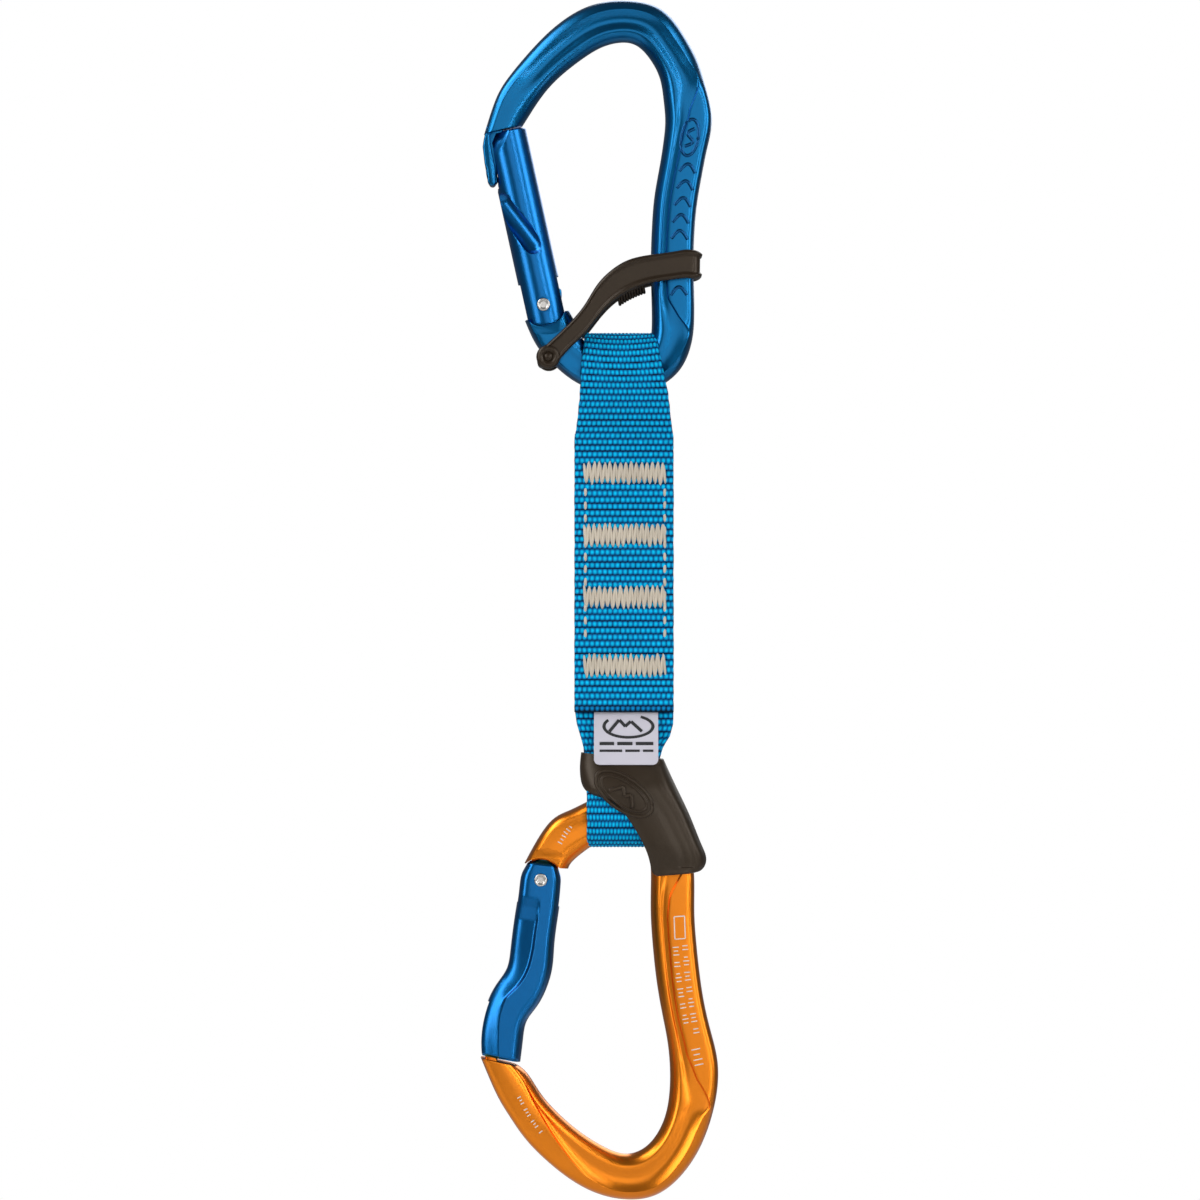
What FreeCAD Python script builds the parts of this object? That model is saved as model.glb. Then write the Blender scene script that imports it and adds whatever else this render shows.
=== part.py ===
import FreeCAD, Part
import math
import os
import Sketcher

# Climbing quickdraw, hanging as in use: +Z up, +X towards the spines, -Y towards the viewer.
# The origin is the hanger seat, the inside top of the upper carabiner. All lengths in mm.

V = FreeCAD.Vector

DIMENSIONS = {
    # forged bars of both carabiners
    "bar_thickness": 9.6,
    "bar_rounding": 3.2,
    # hinge of both gates: tang on the frame, ears on the gate, rivet through both
    "tang_thickness": 3.6,
    "tang_clearance": 0.3,
    "tang_radius": 4.2,
    "cam_rise": 1.6,
    "eye_radius": 5.1,
    "hinge_gap": 0.4,
    "rivet_radius": 1.65,
    "rivet_running_clearance": 0.05,
    "rivet_proud": 0.15,
    "rivet_dimple_radius": 1.0,
    "rivet_dimple_depth": 0.4,
    "rivet_edge": 0.2,
    # gates
    "gate_diameter": 10.3,
    "gate_thickness": 9.6,
    "gate_rounding": 3.0,
    "gate_chamfer": 0.5,
    "nose_thickness": 3.4,
    "nose_clearance": 0.35,
    # plungers and springs inside the gates
    "clevis_depth": 6.3,
    "bore_radius": 2.4,
    "bore_start": 3.6,
    "bore_end": 24.0,
    "plunger_radius": 2.2,
    "plunger_gap": 0.4,
    "plunger_length": 6.0,
    "plunger_dome": 1.7,
    "spring_mean_radius": 1.85,
    "spring_wire_radius": 0.28,
    "spring_turns": 9,
    "spring_end_gap": 0.1,
    # sling
    "webbing_width": 24.7,
    "layer_thickness": 2.0,
    "loop_half": 7.3,
    "webbing_clearance": 0.25,
    "flex_gap": 0.35,
    "flex_half_thickness": 0.3,
    "thread_radius": 0.3,
    "bartack_width": 20.6,
    "bartack_height": 5.2,
    "bartack_proud": 0.5,
    "bartack_holes": 8,
    "bartack_hole_inset": 1.2,
    "stitch_length": 1.9,
    "stitch_pitch": 3.2,
    "label_width": 16.0,
    "label_length": 14.0,
    "label_thickness": 0.4,
    "label_rounding": 1.4,
    # moulded rubber
    "strap_inner_half": 5.4,
    "strap_outer_half": 7.9,
    "strap_pin_radius": 1.2,
    "strap_ball_radius": 3.0,
    "strap_bridge_thickness": 1.7,
    "keeper_clearance": 0.35,
    "keeper_bar_clearance": 0.1,
    "keeper_half": 8.8,
}

# Joint axes in the plane of the frames, as (x, z)
UPPER_HINGE = (-19.3, -65.9)
LOWER_HINGE = (-20.0, -209.25)
UPPER_TILT = 12.4
LOWER_TILT = 12.6
LOWER_BORE_TILT = 6.3
TIP_DISTANCE = 44.4
LOWER_TIP_DISTANCE = 46.2
SEWN_TOP = -101.0
# The cam on the tang: where its even rise starts and ends, in radians of gate opening
CAM_START = -0.35
CAM_END = 1.05
CAM_RETURN = 2.0
FRONT_LAYER_END = -167.5
FLEX_LINE = -175.75
# Longer than anything here is wide, for cuts and prisms that run right through
THROUGH = 80.0

doc = FreeCAD.newDocument("quickdraw")
sheet = doc.addObject("Spreadsheet::Sheet", "Dimensions")
for row, (alias, value) in enumerate(DIMENSIONS.items(), start=1):
    sheet.set("A%d" % row, alias)
    sheet.set("B%d" % row, str(value))
    sheet.setAlias("B%d" % row, alias)
doc.recompute()

NODES = []


def size(alias):
    return float(sheet.get(alias))


def cell(alias):
    return "Dimensions." + alias


def add_node(obj, label):
    obj.Label = label
    NODES.append(obj)


def bind(obj, prop, expression):
    obj.setExpression(prop, expression)


# ---------------------------------------------------------------- sketch helpers

def new_body(name):
    return doc.addObject("PartDesign::Body", name)


def new_sketch(body, name, role="XZ_Plane"):
    sketch = body.newObject("Sketcher::SketchObject", name)
    plane = [f for f in body.Origin.OriginFeatures if f.Role == role][0]
    sketch.AttachmentSupport = (plane, [""])
    sketch.MapMode = "FlatFace"
    return sketch


def flat(point):
    return V(point[0], point[1], 0)


def spline_through(points):
    curve = Part.BSplineCurve()
    curve.interpolate([flat(p) for p in points])
    return curve


def draw_outline(sketch, pieces):
    """Closed outline: each piece is a list of points, a line if two, else a smooth curve."""
    for piece in pieces:
        if len(piece) == 2:
            sketch.addGeometry(Part.LineSegment(flat(piece[0]), flat(piece[1])))
        else:
            sketch.addGeometry(spline_through(piece))


def draw_polygon(sketch, points):
    draw_outline(sketch, [[a, b] for a, b in zip(points, points[1:] + points[:1])])


def draw_circle(sketch, centre, alias_expression, radius):
    """A circle with its centre and its radius constrained; the radius follows the sheet."""
    index = sketch.addGeometry(Part.Circle(flat(centre), V(0, 0, 1), radius))
    sketch.addConstraint(Sketcher.Constraint("DistanceX", -1, 1, index, 3, centre[0]))
    sketch.addConstraint(Sketcher.Constraint("DistanceY", -1, 1, index, 3, centre[1]))
    constraint = sketch.addConstraint(Sketcher.Constraint("Radius", index, radius))
    sketch.renameConstraint(constraint, "radius")
    sketch.setExpression("Constraints.radius", alias_expression)


def pad(body, sketch, name, expression):
    feature = body.newObject("PartDesign::Pad", name)
    feature.Profile = sketch
    feature.Midplane = True
    bind(feature, "Length", expression)
    return feature


def pocket_through(body, sketch, name):
    feature = body.newObject("PartDesign::Pocket", name)
    feature.Profile = sketch
    feature.Midplane = True
    feature.Type = "Length"
    feature.Length = THROUGH
    return feature


def pocket_slot(body, sketch, name, expression):
    feature = pocket_through(body, sketch, name)
    bind(feature, "Length", expression)
    return feature


def fillet(body, base, name, expression, wanted):
    """Rounds every edge of the base that the test wants."""
    doc.recompute()
    names = []
    for number, edge in enumerate(base.Shape.Edges, start=1):
        if wanted(edge):
            names.append("Edge%d" % number)
    feature = body.newObject("PartDesign::Fillet", name)
    feature.Base = (base, names)
    bind(feature, "Radius", expression)
    return feature


def lies_on_face(edge, half):
    """Whether the edge lies in one of the two flat faces at y = -half and y = +half."""
    box = edge.BoundBox
    return box.YLength < 0.01 and abs(abs(box.Center.y) - half) < 0.01


# ---------------------------------------------------------------- outlines

def ribbon(points, start_pair, end_pair):
    """Outline of a bar that follows (x, z, width) points; the pairs are its end corners."""
    centre = spline_through([(x, z) for x, z, width in points])
    left = [start_pair[0]]
    right = [start_pair[1]]
    for x, z, width in points:
        along = centre.tangent(centre.parameter(V(x, z, 0)))[0]
        across = V(-along.y, along.x, 0) * (width / 2)
        left.append((x + across.x, z + across.y))
        right.append((x - across.x, z - across.y))
    left.append(end_pair[0])
    right.append(end_pair[1])
    return [left, [left[-1], right[-1]], right[::-1], [right[0], left[0]]]


class GateAxes:
    """Plane coordinates of a gate: along runs from its hinge to its tip, across points in."""

    def __init__(self, hinge, tilt, upward):
        angle = math.radians(tilt)
        self.hinge = hinge
        self.along = (-math.sin(angle), upward * math.cos(angle))
        self.across = (math.cos(angle), upward * math.sin(angle))

    def at(self, across, along):
        x = self.hinge[0] + across * self.across[0] + along * self.along[0]
        z = self.hinge[1] + across * self.across[1] + along * self.along[1]
        return (x, z)


UPPER_AXES = GateAxes(UPPER_HINGE, UPPER_TILT, 1)
LOWER_AXES = GateAxes(LOWER_HINGE, LOWER_TILT, -1)
LOWER_BORE_AXES = GateAxes(LOWER_HINGE, LOWER_BORE_TILT, -1)

# The bars' centre lines with the bars' widths: nose, top, spine, basket, hinge
UPPER_BAR = [
    (-27.4, -16.9, 9.2),
    (-24.4, -11.9, 9.6),
    (-18.9, -5.4, 9.8),
    (-12.8, 0.0, 10.6),
    (-6.2, 3.9, 10.8),
    (0.9, 5.1, 10.5),
    (7.0, 3.6, 11.0),
    (11.4, -1.2, 10.4),
    (14.5, -7.1, 10.4),
    (16.1, -13.6, 11.1),
    (16.9, -19.5, 11.7),
    (16.1, -25.7, 11.1),
    (15.0, -31.9, 10.8),
    (13.7, -39.4, 10.8),
    (13.1, -46.0, 10.7),
    (12.8, -57.0, 10.7),
    (13.0, -69.0, 10.6),
    (12.6, -74.2, 10.3),
    (10.6, -79.2, 9.9),
    (6.6, -82.3, 9.5),
    (0.9, -83.5, 9.4),
    (-5.2, -82.6, 9.4),
    (-10.3, -80.1, 9.4),
    (-13.9, -76.6, 10.0),
    (-16.3, -73.0, 11.2),
]
LOWER_BAR = [
    (-26.8, -261.1, 9.4),
    (-24.2, -265.3, 9.6),
    (-20.6, -270.1, 10.2),
    (-14.4, -276.1, 10.8),
    (-8.0, -280.6, 11.3),
    (-1.4, -283.3, 11.3),
    (5.9, -283.0, 11.8),
    (11.9, -278.4, 11.2),
    (16.0, -271.1, 11.1),
    (17.9, -263.3, 11.7),
    (18.2, -255.8, 12.0),
    (17.0, -248.4, 11.1),
    (15.4, -240.8, 10.8),
    (14.2, -233.2, 10.9),
    (13.4, -225.7, 10.9),
    (12.9, -218.2, 10.9),
    (12.9, -211.0, 10.9),
    (12.6, -205.0, 10.6),
    (10.9, -199.6, 10.3),
    (7.1, -195.2, 10.0),
    (1.6, -193.0, 9.8),
    (-4.2, -193.6, 10.0),
    (-9.5, -196.2, 10.4),
    (-14.2, -199.2, 11.2),
]

UPPER_END = (UPPER_AXES.at(-5.8, TIP_DISTANCE + 0.5), UPPER_AXES.at(4.4, TIP_DISTANCE + 0.5))
LOWER_END = (LOWER_AXES.at(4.6, LOWER_TIP_DISTANCE + 0.5),
             LOWER_AXES.at(-5.0, LOWER_TIP_DISTANCE + 0.5))
UPPER_SHOULDER = ((-24.0, -69.8), (-12.9, -67.2))
LOWER_SHOULDER = ((-13.2, -206.6), (-25.3, -207.4))
UPPER_RIM = (5.4, 6.5, 7.0)
LOWER_RIM = (4.6, 4.7, 4.9)


def tang_outline(axes, bar_end):
    """The tang: a cam over the hinge that rises evenly as the gate opens, and a root."""
    cam = []
    for degrees in range(-90, 100, 10):
        turn = math.radians(degrees)
        rise = max(CAM_START, min(turn, CAM_END)) - max(0, turn - CAM_END) * CAM_RETURN
        radius = size("tang_radius") + size("cam_rise") * rise
        cam.append(axes.at(radius * math.sin(turn), radius * math.cos(turn)))
    left_root = axes.at(-3.6, -bar_end)
    right_root = axes.at(4.2, -bar_end)
    return [cam, [cam[-1], right_root], [right_root, left_root], [left_root, cam[0]]]


def nose_outline(axes, tip, rim):
    """The nose: a blade with a bulb at its end, which the slot in the gate's tip takes.

    The rim gives how far out the blade's outer edge is at its root, middle and bulb.
    """
    root, middle, bulb = rim
    return [
        [axes.at(-root, tip + 2.5), axes.at(-middle, tip - 3.0), axes.at(-bulb, tip - 8.5)],
        [axes.at(-bulb, tip - 8.5), axes.at(-bulb - 0.1, tip - 10.5),
         axes.at(-bulb + 0.9, tip - 12.4), axes.at(-bulb + 2.2, tip - 11.9),
         axes.at(-bulb + 2.5, tip - 10.2)],
        [axes.at(-bulb + 2.5, tip - 10.2), axes.at(-2.6, tip - 5.0), axes.at(0.4, tip + 2.5)],
        [axes.at(0.4, tip + 2.5), axes.at(-root, tip + 2.5)],
    ]


def slot_outline(axes, tip):
    return [axes.at(-9.0, tip + 3.0), axes.at(1.2, tip + 3.0), axes.at(-1.2, tip - 5.0),
            axes.at(-2.2, tip - 13.6), axes.at(-9.0, tip - 13.6)]


# ---------------------------------------------------------------- frames

def carabiner_frame(label, bar, end, shoulder, axes, bore_axes, tip, rim):
    body = new_body(label)
    outline = new_sketch(body, label + "_outline")
    draw_outline(outline, ribbon(bar, end, shoulder))
    forged = pad(body, outline, label + "_bar", cell("bar_thickness"))
    half = size("bar_thickness") / 2
    doc.recompute()
    rims = [e.Length for e in forged.Shape.Edges if lies_on_face(e, half) and e.Length > 40]
    outer_length = max(rims)
    inner_length = min(rims)
    outer = fillet(body, forged, label + "_outer_rounding", cell("bar_rounding"),
                   lambda edge: lies_on_face(edge, half) and abs(edge.Length - outer_length) < 1)
    fillet(body, outer, label + "_inner_rounding", cell("bar_rounding"),
           lambda edge: lies_on_face(edge, half) and abs(edge.Length - inner_length) < 1)

    seat = new_sketch(body, label + "_seat")
    draw_circle(seat, axes.hinge, cell("eye_radius") + " + " + cell("hinge_gap"),
                size("eye_radius") + size("hinge_gap"))
    pocket_through(body, seat, label + "_seat_cut")

    tang = new_sketch(body, label + "_tang_outline")
    draw_outline(tang, tang_outline(bore_axes, 8.0))
    pad(body, tang, label + "_tang", cell("tang_thickness"))

    nose = new_sketch(body, label + "_nose_outline")
    draw_outline(nose, nose_outline(axes, tip, rim))
    pad(body, nose, label + "_nose", cell("nose_thickness"))

    hole = new_sketch(body, label + "_hole")
    draw_circle(hole, axes.hinge, cell("rivet_radius") + " + " + cell("rivet_running_clearance"),
                size("rivet_radius") + size("rivet_running_clearance"))
    body.Tip = pocket_through(body, hole, label + "_rivet_hole")
    add_node(body, label)
    return body


upper_frame = carabiner_frame("upper_frame", UPPER_BAR, UPPER_END, UPPER_SHOULDER,
                              UPPER_AXES, UPPER_AXES, TIP_DISTANCE, UPPER_RIM)
lower_frame = carabiner_frame("lower_frame", LOWER_BAR, LOWER_END, LOWER_SHOULDER,
                              LOWER_AXES, LOWER_BORE_AXES, LOWER_TIP_DISTANCE, LOWER_RIM)


# ---------------------------------------------------------------- gates

def cut_gate_openings(body, label, axes, bore_axes, tip):
    """Clevis slot, keylock slot and rivet hole, common to both gates."""
    slot = new_sketch(body, label + "_nose_slot")
    draw_polygon(slot, slot_outline(axes, tip))
    pocket_slot(body, slot, label + "_nose_slot_cut",
                cell("nose_thickness") + " + 2 * " + cell("nose_clearance"))

    depth = size("clevis_depth")
    clevis = new_sketch(body, label + "_clevis")
    draw_polygon(clevis, [bore_axes.at(-12, -9), bore_axes.at(12, -9),
                          bore_axes.at(12, depth), bore_axes.at(-12, depth)])
    pocket_slot(body, clevis, label + "_clevis_cut",
                cell("tang_thickness") + " + 2 * " + cell("tang_clearance"))

    hole = new_sketch(body, label + "_hole")
    draw_circle(hole, axes.hinge, cell("rivet_radius"), size("rivet_radius"))
    return pocket_through(body, hole, label + "_rivet_hole")


def tilt_placement(hinge, tilt, upward):
    turn = -tilt if upward > 0 else 180 + tilt
    return FreeCAD.Placement(V(hinge[0], 0, hinge[1]), FreeCAD.Rotation(V(0, 1, 0), turn))


def inner_cylinder(name, placement, radius, start, end):
    """A cylinder along a gate's own axis, from start to end, measured from the hinge."""
    cylinder = doc.addObject("Part::Cylinder", name)
    bind(cylinder, "Radius", cell(radius))
    bind(cylinder, "Height", cell(end) + " - " + cell(start))
    cylinder.Placement = placement.multiply(along_axis(size(start)))
    return cylinder


def along_axis(distance):
    return FreeCAD.Placement(V(0, 0, distance), FreeCAD.Rotation())


def boolean(kind, name, base, tool):
    result = doc.addObject(kind, name)
    result.Base = base
    result.Tool = tool
    return result


def upper_gate_blank():
    """Round bar, rounded about the hinge at its foot, as a turned part would be."""
    label = "upper_gate"
    body = new_body(label + "_blank")
    round_bar = new_sketch(body, label + "_bar_outline")
    radius = size("gate_diameter") / 2
    foot = -size("eye_radius")
    chamfer = size("gate_chamfer")
    points = [(0, foot), (radius, foot), (radius, TIP_DISTANCE - chamfer),
              (radius - chamfer, TIP_DISTANCE), (0, TIP_DISTANCE)]
    draw_polygon(round_bar, points)
    turned = body.newObject("PartDesign::Revolution", label + "_turned")
    turned.Profile = round_bar
    turned.ReferenceAxis = (round_bar, ["V_Axis"])
    turned.Angle = 360
    local = GateAxes((0, 0), 0, 1)
    eye = new_sketch(body, label + "_eye")
    draw_outline(eye, foot_trim(local, size("eye_radius"), radius))
    pocket_through(body, eye, label + "_eye_cut")
    body.Tip = cut_gate_openings(body, label, local, local, TIP_DISTANCE)
    body.Placement = tilt_placement(UPPER_HINGE, UPPER_TILT, 1)
    return body


def foot_trim(axes, radius, half_width):
    """The corners below the hinge that are cut away to leave a round foot."""
    rim = []
    for step in range(0, 13):
        turn = math.pi * step / 12
        rim.append(axes.at(radius * math.cos(turn), -radius * math.sin(turn)))
    low = -radius - 4
    wide = half_width + 4
    return [rim, [rim[-1], axes.at(-wide, 0)], [axes.at(-wide, 0), axes.at(-wide, low)],
            [axes.at(-wide, low), axes.at(wide, low)], [axes.at(wide, low), axes.at(wide, 0)],
            [axes.at(wide, 0), rim[0]]]


LOWER_GATE_LINE = [
    (-20.4, -213.2, 10.6),
    (-21.3, -219.5, 10.7),
    (-22.1, -226.0, 10.8),
    (-22.8, -231.6, 11.0),
    (-24.9, -236.6, 11.4),
    (-27.6, -240.6, 11.2),
    (-29.3, -245.2, 10.7),
    (-29.9, -250.0, 10.6),
]


def lower_gate_blank():
    """Bent bar with rounded edges and a thumb hollow on its outer side."""
    label = "lower_gate"
    body = new_body(label + "_blank")
    outline = new_sketch(body, label + "_outline")
    crown = [LOWER_BORE_AXES.at(-5.2, 1.0), LOWER_BORE_AXES.at(5.2, 1.0)]
    tip = [LOWER_AXES.at(-5.2, LOWER_TIP_DISTANCE), LOWER_AXES.at(5.2, LOWER_TIP_DISTANCE)]
    # the line runs downwards, so its left-hand side is the inner one
    sides = ribbon(LOWER_GATE_LINE, (crown[1], crown[0]), (tip[1], tip[0]))
    cap = []
    for step in range(0, 9):
        turn = math.pi * step / 8
        cap.append(LOWER_BORE_AXES.at(-5.2 * math.cos(turn), 1.0 - 6.1 * math.sin(turn)))
    draw_outline(outline, [sides[0], sides[1], sides[2], cap])
    bar = pad(body, outline, label + "_bar", cell("gate_thickness"))
    half = size("gate_thickness") / 2
    fillet(body, bar, label + "_rounding", cell("gate_rounding"),
           lambda edge: lies_on_face(edge, half) and edge.Length > 12)
    body.Tip = cut_gate_openings(body, label, LOWER_AXES, LOWER_BORE_AXES, LOWER_TIP_DISTANCE)
    return body


def bored_gate(label, blank, placement):
    bore = inner_cylinder(label + "_bore", placement, "bore_radius", "bore_start", "bore_end")
    gate = boolean("Part::Cut", label + "_bored", blank, bore)
    add_node(gate, label)
    return gate


UPPER_PLACE = tilt_placement(UPPER_HINGE, UPPER_TILT, 1)
LOWER_PLACE = tilt_placement(LOWER_HINGE, LOWER_BORE_TILT, -1)
upper_gate = bored_gate("upper_gate", upper_gate_blank(), UPPER_PLACE)
lower_gate = bored_gate("lower_gate", lower_gate_blank(), LOWER_PLACE)


# ---------------------------------------------------------------- rivets, plungers, springs

def gate_rivet(label, hinge, thickness_alias):
    """Pin across the ears with a small dimple in each end."""
    body = new_body(label)
    shank = new_sketch(body, label + "_shank")
    draw_circle(shank, hinge, cell("rivet_radius"), size("rivet_radius"))
    length = cell(thickness_alias) + " + 2 * " + cell("rivet_proud")
    pin = pad(body, shank, label + "_pin", length)
    half = size(thickness_alias) / 2 + size("rivet_proud")
    rounded = body.newObject("PartDesign::Chamfer", label + "_edge")
    doc.recompute()
    rims = [i for i, e in enumerate(pin.Shape.Edges, start=1) if lies_on_face(e, half)]
    rounded.Base = (pin, ["Edge%d" % i for i in rims])
    bind(rounded, "Size", cell("rivet_edge"))
    tip = rounded
    for side in (-1, 1):
        dimple = new_sketch(body, label + "_dimple_%s" % ("front" if side < 0 else "back"))
        dimple.AttachmentOffset = FreeCAD.Placement(V(0, 0, -side * half), FreeCAD.Rotation())
        draw_circle(dimple, hinge, cell("rivet_dimple_radius"), size("rivet_dimple_radius"))
        cut = body.newObject("PartDesign::Pocket", dimple.Name + "_cut")
        cut.Profile = dimple
        cut.Midplane = True
        bind(cut, "Length", "2 * " + cell("rivet_dimple_depth"))
        tip = cut
    body.Tip = tip
    add_node(body, label)


def plunger(label, placement):
    """Pusher with a domed end that bears on the tang's cam."""
    body = new_body(label)
    profile = new_sketch(body, label + "_profile")
    start = size("tang_radius") + size("plunger_gap")
    end = start + size("plunger_length")
    radius = size("plunger_radius")
    dome = []
    for step in range(0, 7):
        turn = math.pi / 2 * step / 6
        dome.append((radius * math.sin(turn), start + size("plunger_dome") * (1 - math.cos(turn))))
    draw_outline(profile, [dome, [dome[-1], (radius, end)], [(radius, end), (0, end)],
                           [(0, end), dome[0]]])
    turned = body.newObject("PartDesign::Revolution", label + "_turned")
    turned.Profile = profile
    turned.ReferenceAxis = (profile, ["V_Axis"])
    turned.Angle = 360
    body.Tip = turned
    body.Placement = placement
    add_node(body, label)


def gate_spring(label, placement):
    """Compression spring between the plunger and the end of the bore."""
    start = size("tang_radius") + size("plunger_gap") + size("plunger_length")
    start += size("spring_end_gap") + size("spring_wire_radius")
    end = size("bore_end") - size("spring_end_gap") - size("spring_wire_radius")
    turns = size("spring_turns")
    helix = Part.makeHelix((end - start) / turns, end - start, size("spring_mean_radius"))
    ring = Part.Wire([Part.Circle(V(size("spring_mean_radius"), 0, 0), V(0, 1, 0),
                                  size("spring_wire_radius")).toShape()])
    coil = Part.Wire(helix).makePipeShell([ring], True, True)
    spring = doc.addObject("Part::Feature", label + "_coil")
    spring.Shape = coil
    spring.Placement = placement.multiply(along_axis(start))
    add_node(spring, label)


gate_rivet("upper_gate_rivet", UPPER_HINGE, "gate_diameter")
gate_rivet("lower_gate_rivet", LOWER_HINGE, "gate_thickness")
plunger("upper_gate_plunger", UPPER_PLACE)
plunger("lower_gate_plunger", LOWER_PLACE)
gate_spring("upper_gate_spring", UPPER_PLACE)
gate_spring("lower_gate_spring", LOWER_PLACE)


# ---------------------------------------------------------------- sling

def loop_ring(label, side_outline, front_outline, frame_bar):
    """Webbing loop: the side outline across the front outline, clear of the bar it holds."""
    side = doc.addObject("Part::Feature", label + "_side")
    side.Shape = side_outline
    front = doc.addObject("Part::Feature", label + "_front")
    front.Shape = front_outline
    strip = boolean("Part::Common", label + "_strip", side, front)
    loop = boolean("Part::Cut", label + "_clear", strip, frame_bar)
    add_node(loop, label)


def prism(pieces, plane, depth):
    """Solid from a closed outline in the xz or yz plane, spread evenly about that plane."""
    edges = []
    for piece in pieces:
        curve = Part.LineSegment(flat(piece[0]), flat(piece[1]))
        if len(piece) > 2:
            curve = spline_through(piece)
        edges.append(curve.toShape())
    face = Part.Face(Part.Wire(Part.__sortEdges__(edges)))
    solid = face.extrude(V(0, 0, depth))
    solid.translate(V(0, 0, -depth / 2))
    turn = FreeCAD.Rotation(V(1, 0, 0), 90)
    if plane == "yz":
        turn = FreeCAD.Rotation(V(1, 1, 1), 120)
    solid.Placement = FreeCAD.Placement(V(0, 0, 0), turn).multiply(solid.Placement)
    return solid


def closed(points):
    return [[a, b] for a, b in zip(points, points[1:] + points[:1])]


def clear_bar(name, bar, end, shoulder, margin):
    """The bar of a frame, larger all round by the margin, to cut room for it."""
    wide = [(x, z, width + 2 * margin) for x, z, width in bar]
    solid = prism(ribbon(wide, end, shoulder), "xz", size("bar_thickness") + 2 * margin)
    room = doc.addObject("Part::Feature", name)
    room.Shape = solid
    return room


def upper_loop():
    top = -72.8
    thick = size("layer_thickness")
    outer = size("loop_half")
    inner = outer - thick
    middle = -82.0
    rim = [(-3.0, SEWN_TOP), (-4.9, -94.0), (-6.9, -87.0), (-outer, middle), (-5.9, -76.4),
           (0.0, top), (5.9, -76.4), (outer, middle), (6.9, -87.0), (4.9, -94.0), (3.0, SEWN_TOP)]
    hole = [(0.0, SEWN_TOP + 1.5), (-2.6, -94.6), (-4.9, -87.4), (-inner, middle),
            (-4.0, -77.0), (0.0, top - thick), (4.0, -77.0), (inner, middle),
            (4.9, -87.4), (2.6, -94.6), (0.0, SEWN_TOP + 1.5)]
    ring = prism([rim, [rim[-1], rim[0]]], "yz", THROUGH).cut(
        prism([hole[:6], hole[5:]], "yz", THROUGH))
    left = [(-9.2, -72.0), (-9.6, -80.0), (-10.3, -88.5), (-11.1, -98.0), (-11.4, SEWN_TOP)]
    right = [(12.9, SEWN_TOP), (12.6, -97.5), (11.5, -86.0), (9.8, -79.0), (8.6, -72.0)]
    front = prism([left, [left[-1], right[0]], right, [right[-1], left[0]]], "xz", THROUGH)
    room = clear_bar("upper_loop_room", UPPER_BAR, UPPER_END, UPPER_SHOULDER,
                     size("webbing_clearance"))
    loop_ring("sling_upper_loop", ring, front, room)


def lower_loop():
    thick = size("layer_thickness")
    gap = size("flex_gap")
    slim = size("flex_half_thickness")
    outer = size("loop_half")
    inner = outer - thick
    bottom = -200.9
    rim = [(-slim, FLEX_LINE - gap), (-3.0, -182.0), (-6.2, -188.0), (-outer, -193.5),
           (-5.6, -198.4), (0.0, bottom), (5.6, -198.4), (outer, -193.5), (6.2, -188.0),
           (3.0, -182.0), (slim, FLEX_LINE - gap)]
    hole = [(0.0, -183.5), (-3.6, -187.2), (-inner, -193.5), (-3.9, -197.2),
            (0.0, bottom + thick), (3.9, -197.2), (inner, -193.5), (3.6, -187.2), (0.0, -183.5)]
    ring = prism([rim, [rim[-1], rim[0]]], "yz", THROUGH).cut(
        prism([hole[:5], hole[4:]], "yz", THROUGH))
    front = prism(closed([(-9.6, FLEX_LINE), (-9.2, -180.0), (-8.6, -190.0), (-8.6, -203.5),
                          (3.0, -203.5), (8.4, -200.0), (9.2, -190.0), (9.6, -180.0),
                          (10.9, FLEX_LINE)]), "xz", THROUGH)
    room = clear_bar("lower_loop_room", LOWER_BAR, LOWER_END, LOWER_SHOULDER,
                     size("webbing_clearance"))
    loop_ring("sling_lower_loop", ring, front, room)


def sewn_webbing():
    """The three sewn layers; the front one ends first, and the rest narrow to the flex line."""
    body = new_body("sling_webbing")
    side = new_sketch(body, "webbing_side", "YZ_Plane")
    layer = size("layer_thickness")
    half = 1.5 * layer
    gap = size("flex_gap")
    slim = size("flex_half_thickness")
    draw_polygon(side, [(-half, SEWN_TOP), (-half, FRONT_LAYER_END), (-layer / 2, FRONT_LAYER_END),
                        (-layer / 2, FLEX_LINE + 3.0), (-slim, FLEX_LINE + gap),
                        (slim, FLEX_LINE + gap), (half, FLEX_LINE + 5.0), (half, SEWN_TOP)])
    pad(body, side, "webbing_strip", cell("webbing_width"))
    corner = new_sketch(body, "webbing_corners")
    half_width = size("webbing_width") / 2
    outside = half_width + 2
    narrow_from = FRONT_LAYER_END - 1.5
    narrow_to = FLEX_LINE - 1
    for side_sign, inset in ((-1, 2.4), (1, 1.1)):
        draw_polygon(corner, [(side_sign * half_width, narrow_from),
                              (side_sign * outside, narrow_from),
                              (side_sign * outside, narrow_to),
                              (side_sign * (half_width - inset), narrow_to)])
    body.Tip = pocket_through(body, corner, "webbing_corner_cut")
    body.Placement = FreeCAD.Placement(V(SLING_X, 0, 0), FreeCAD.Rotation())
    add_node(body, "sling_webbing")


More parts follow.
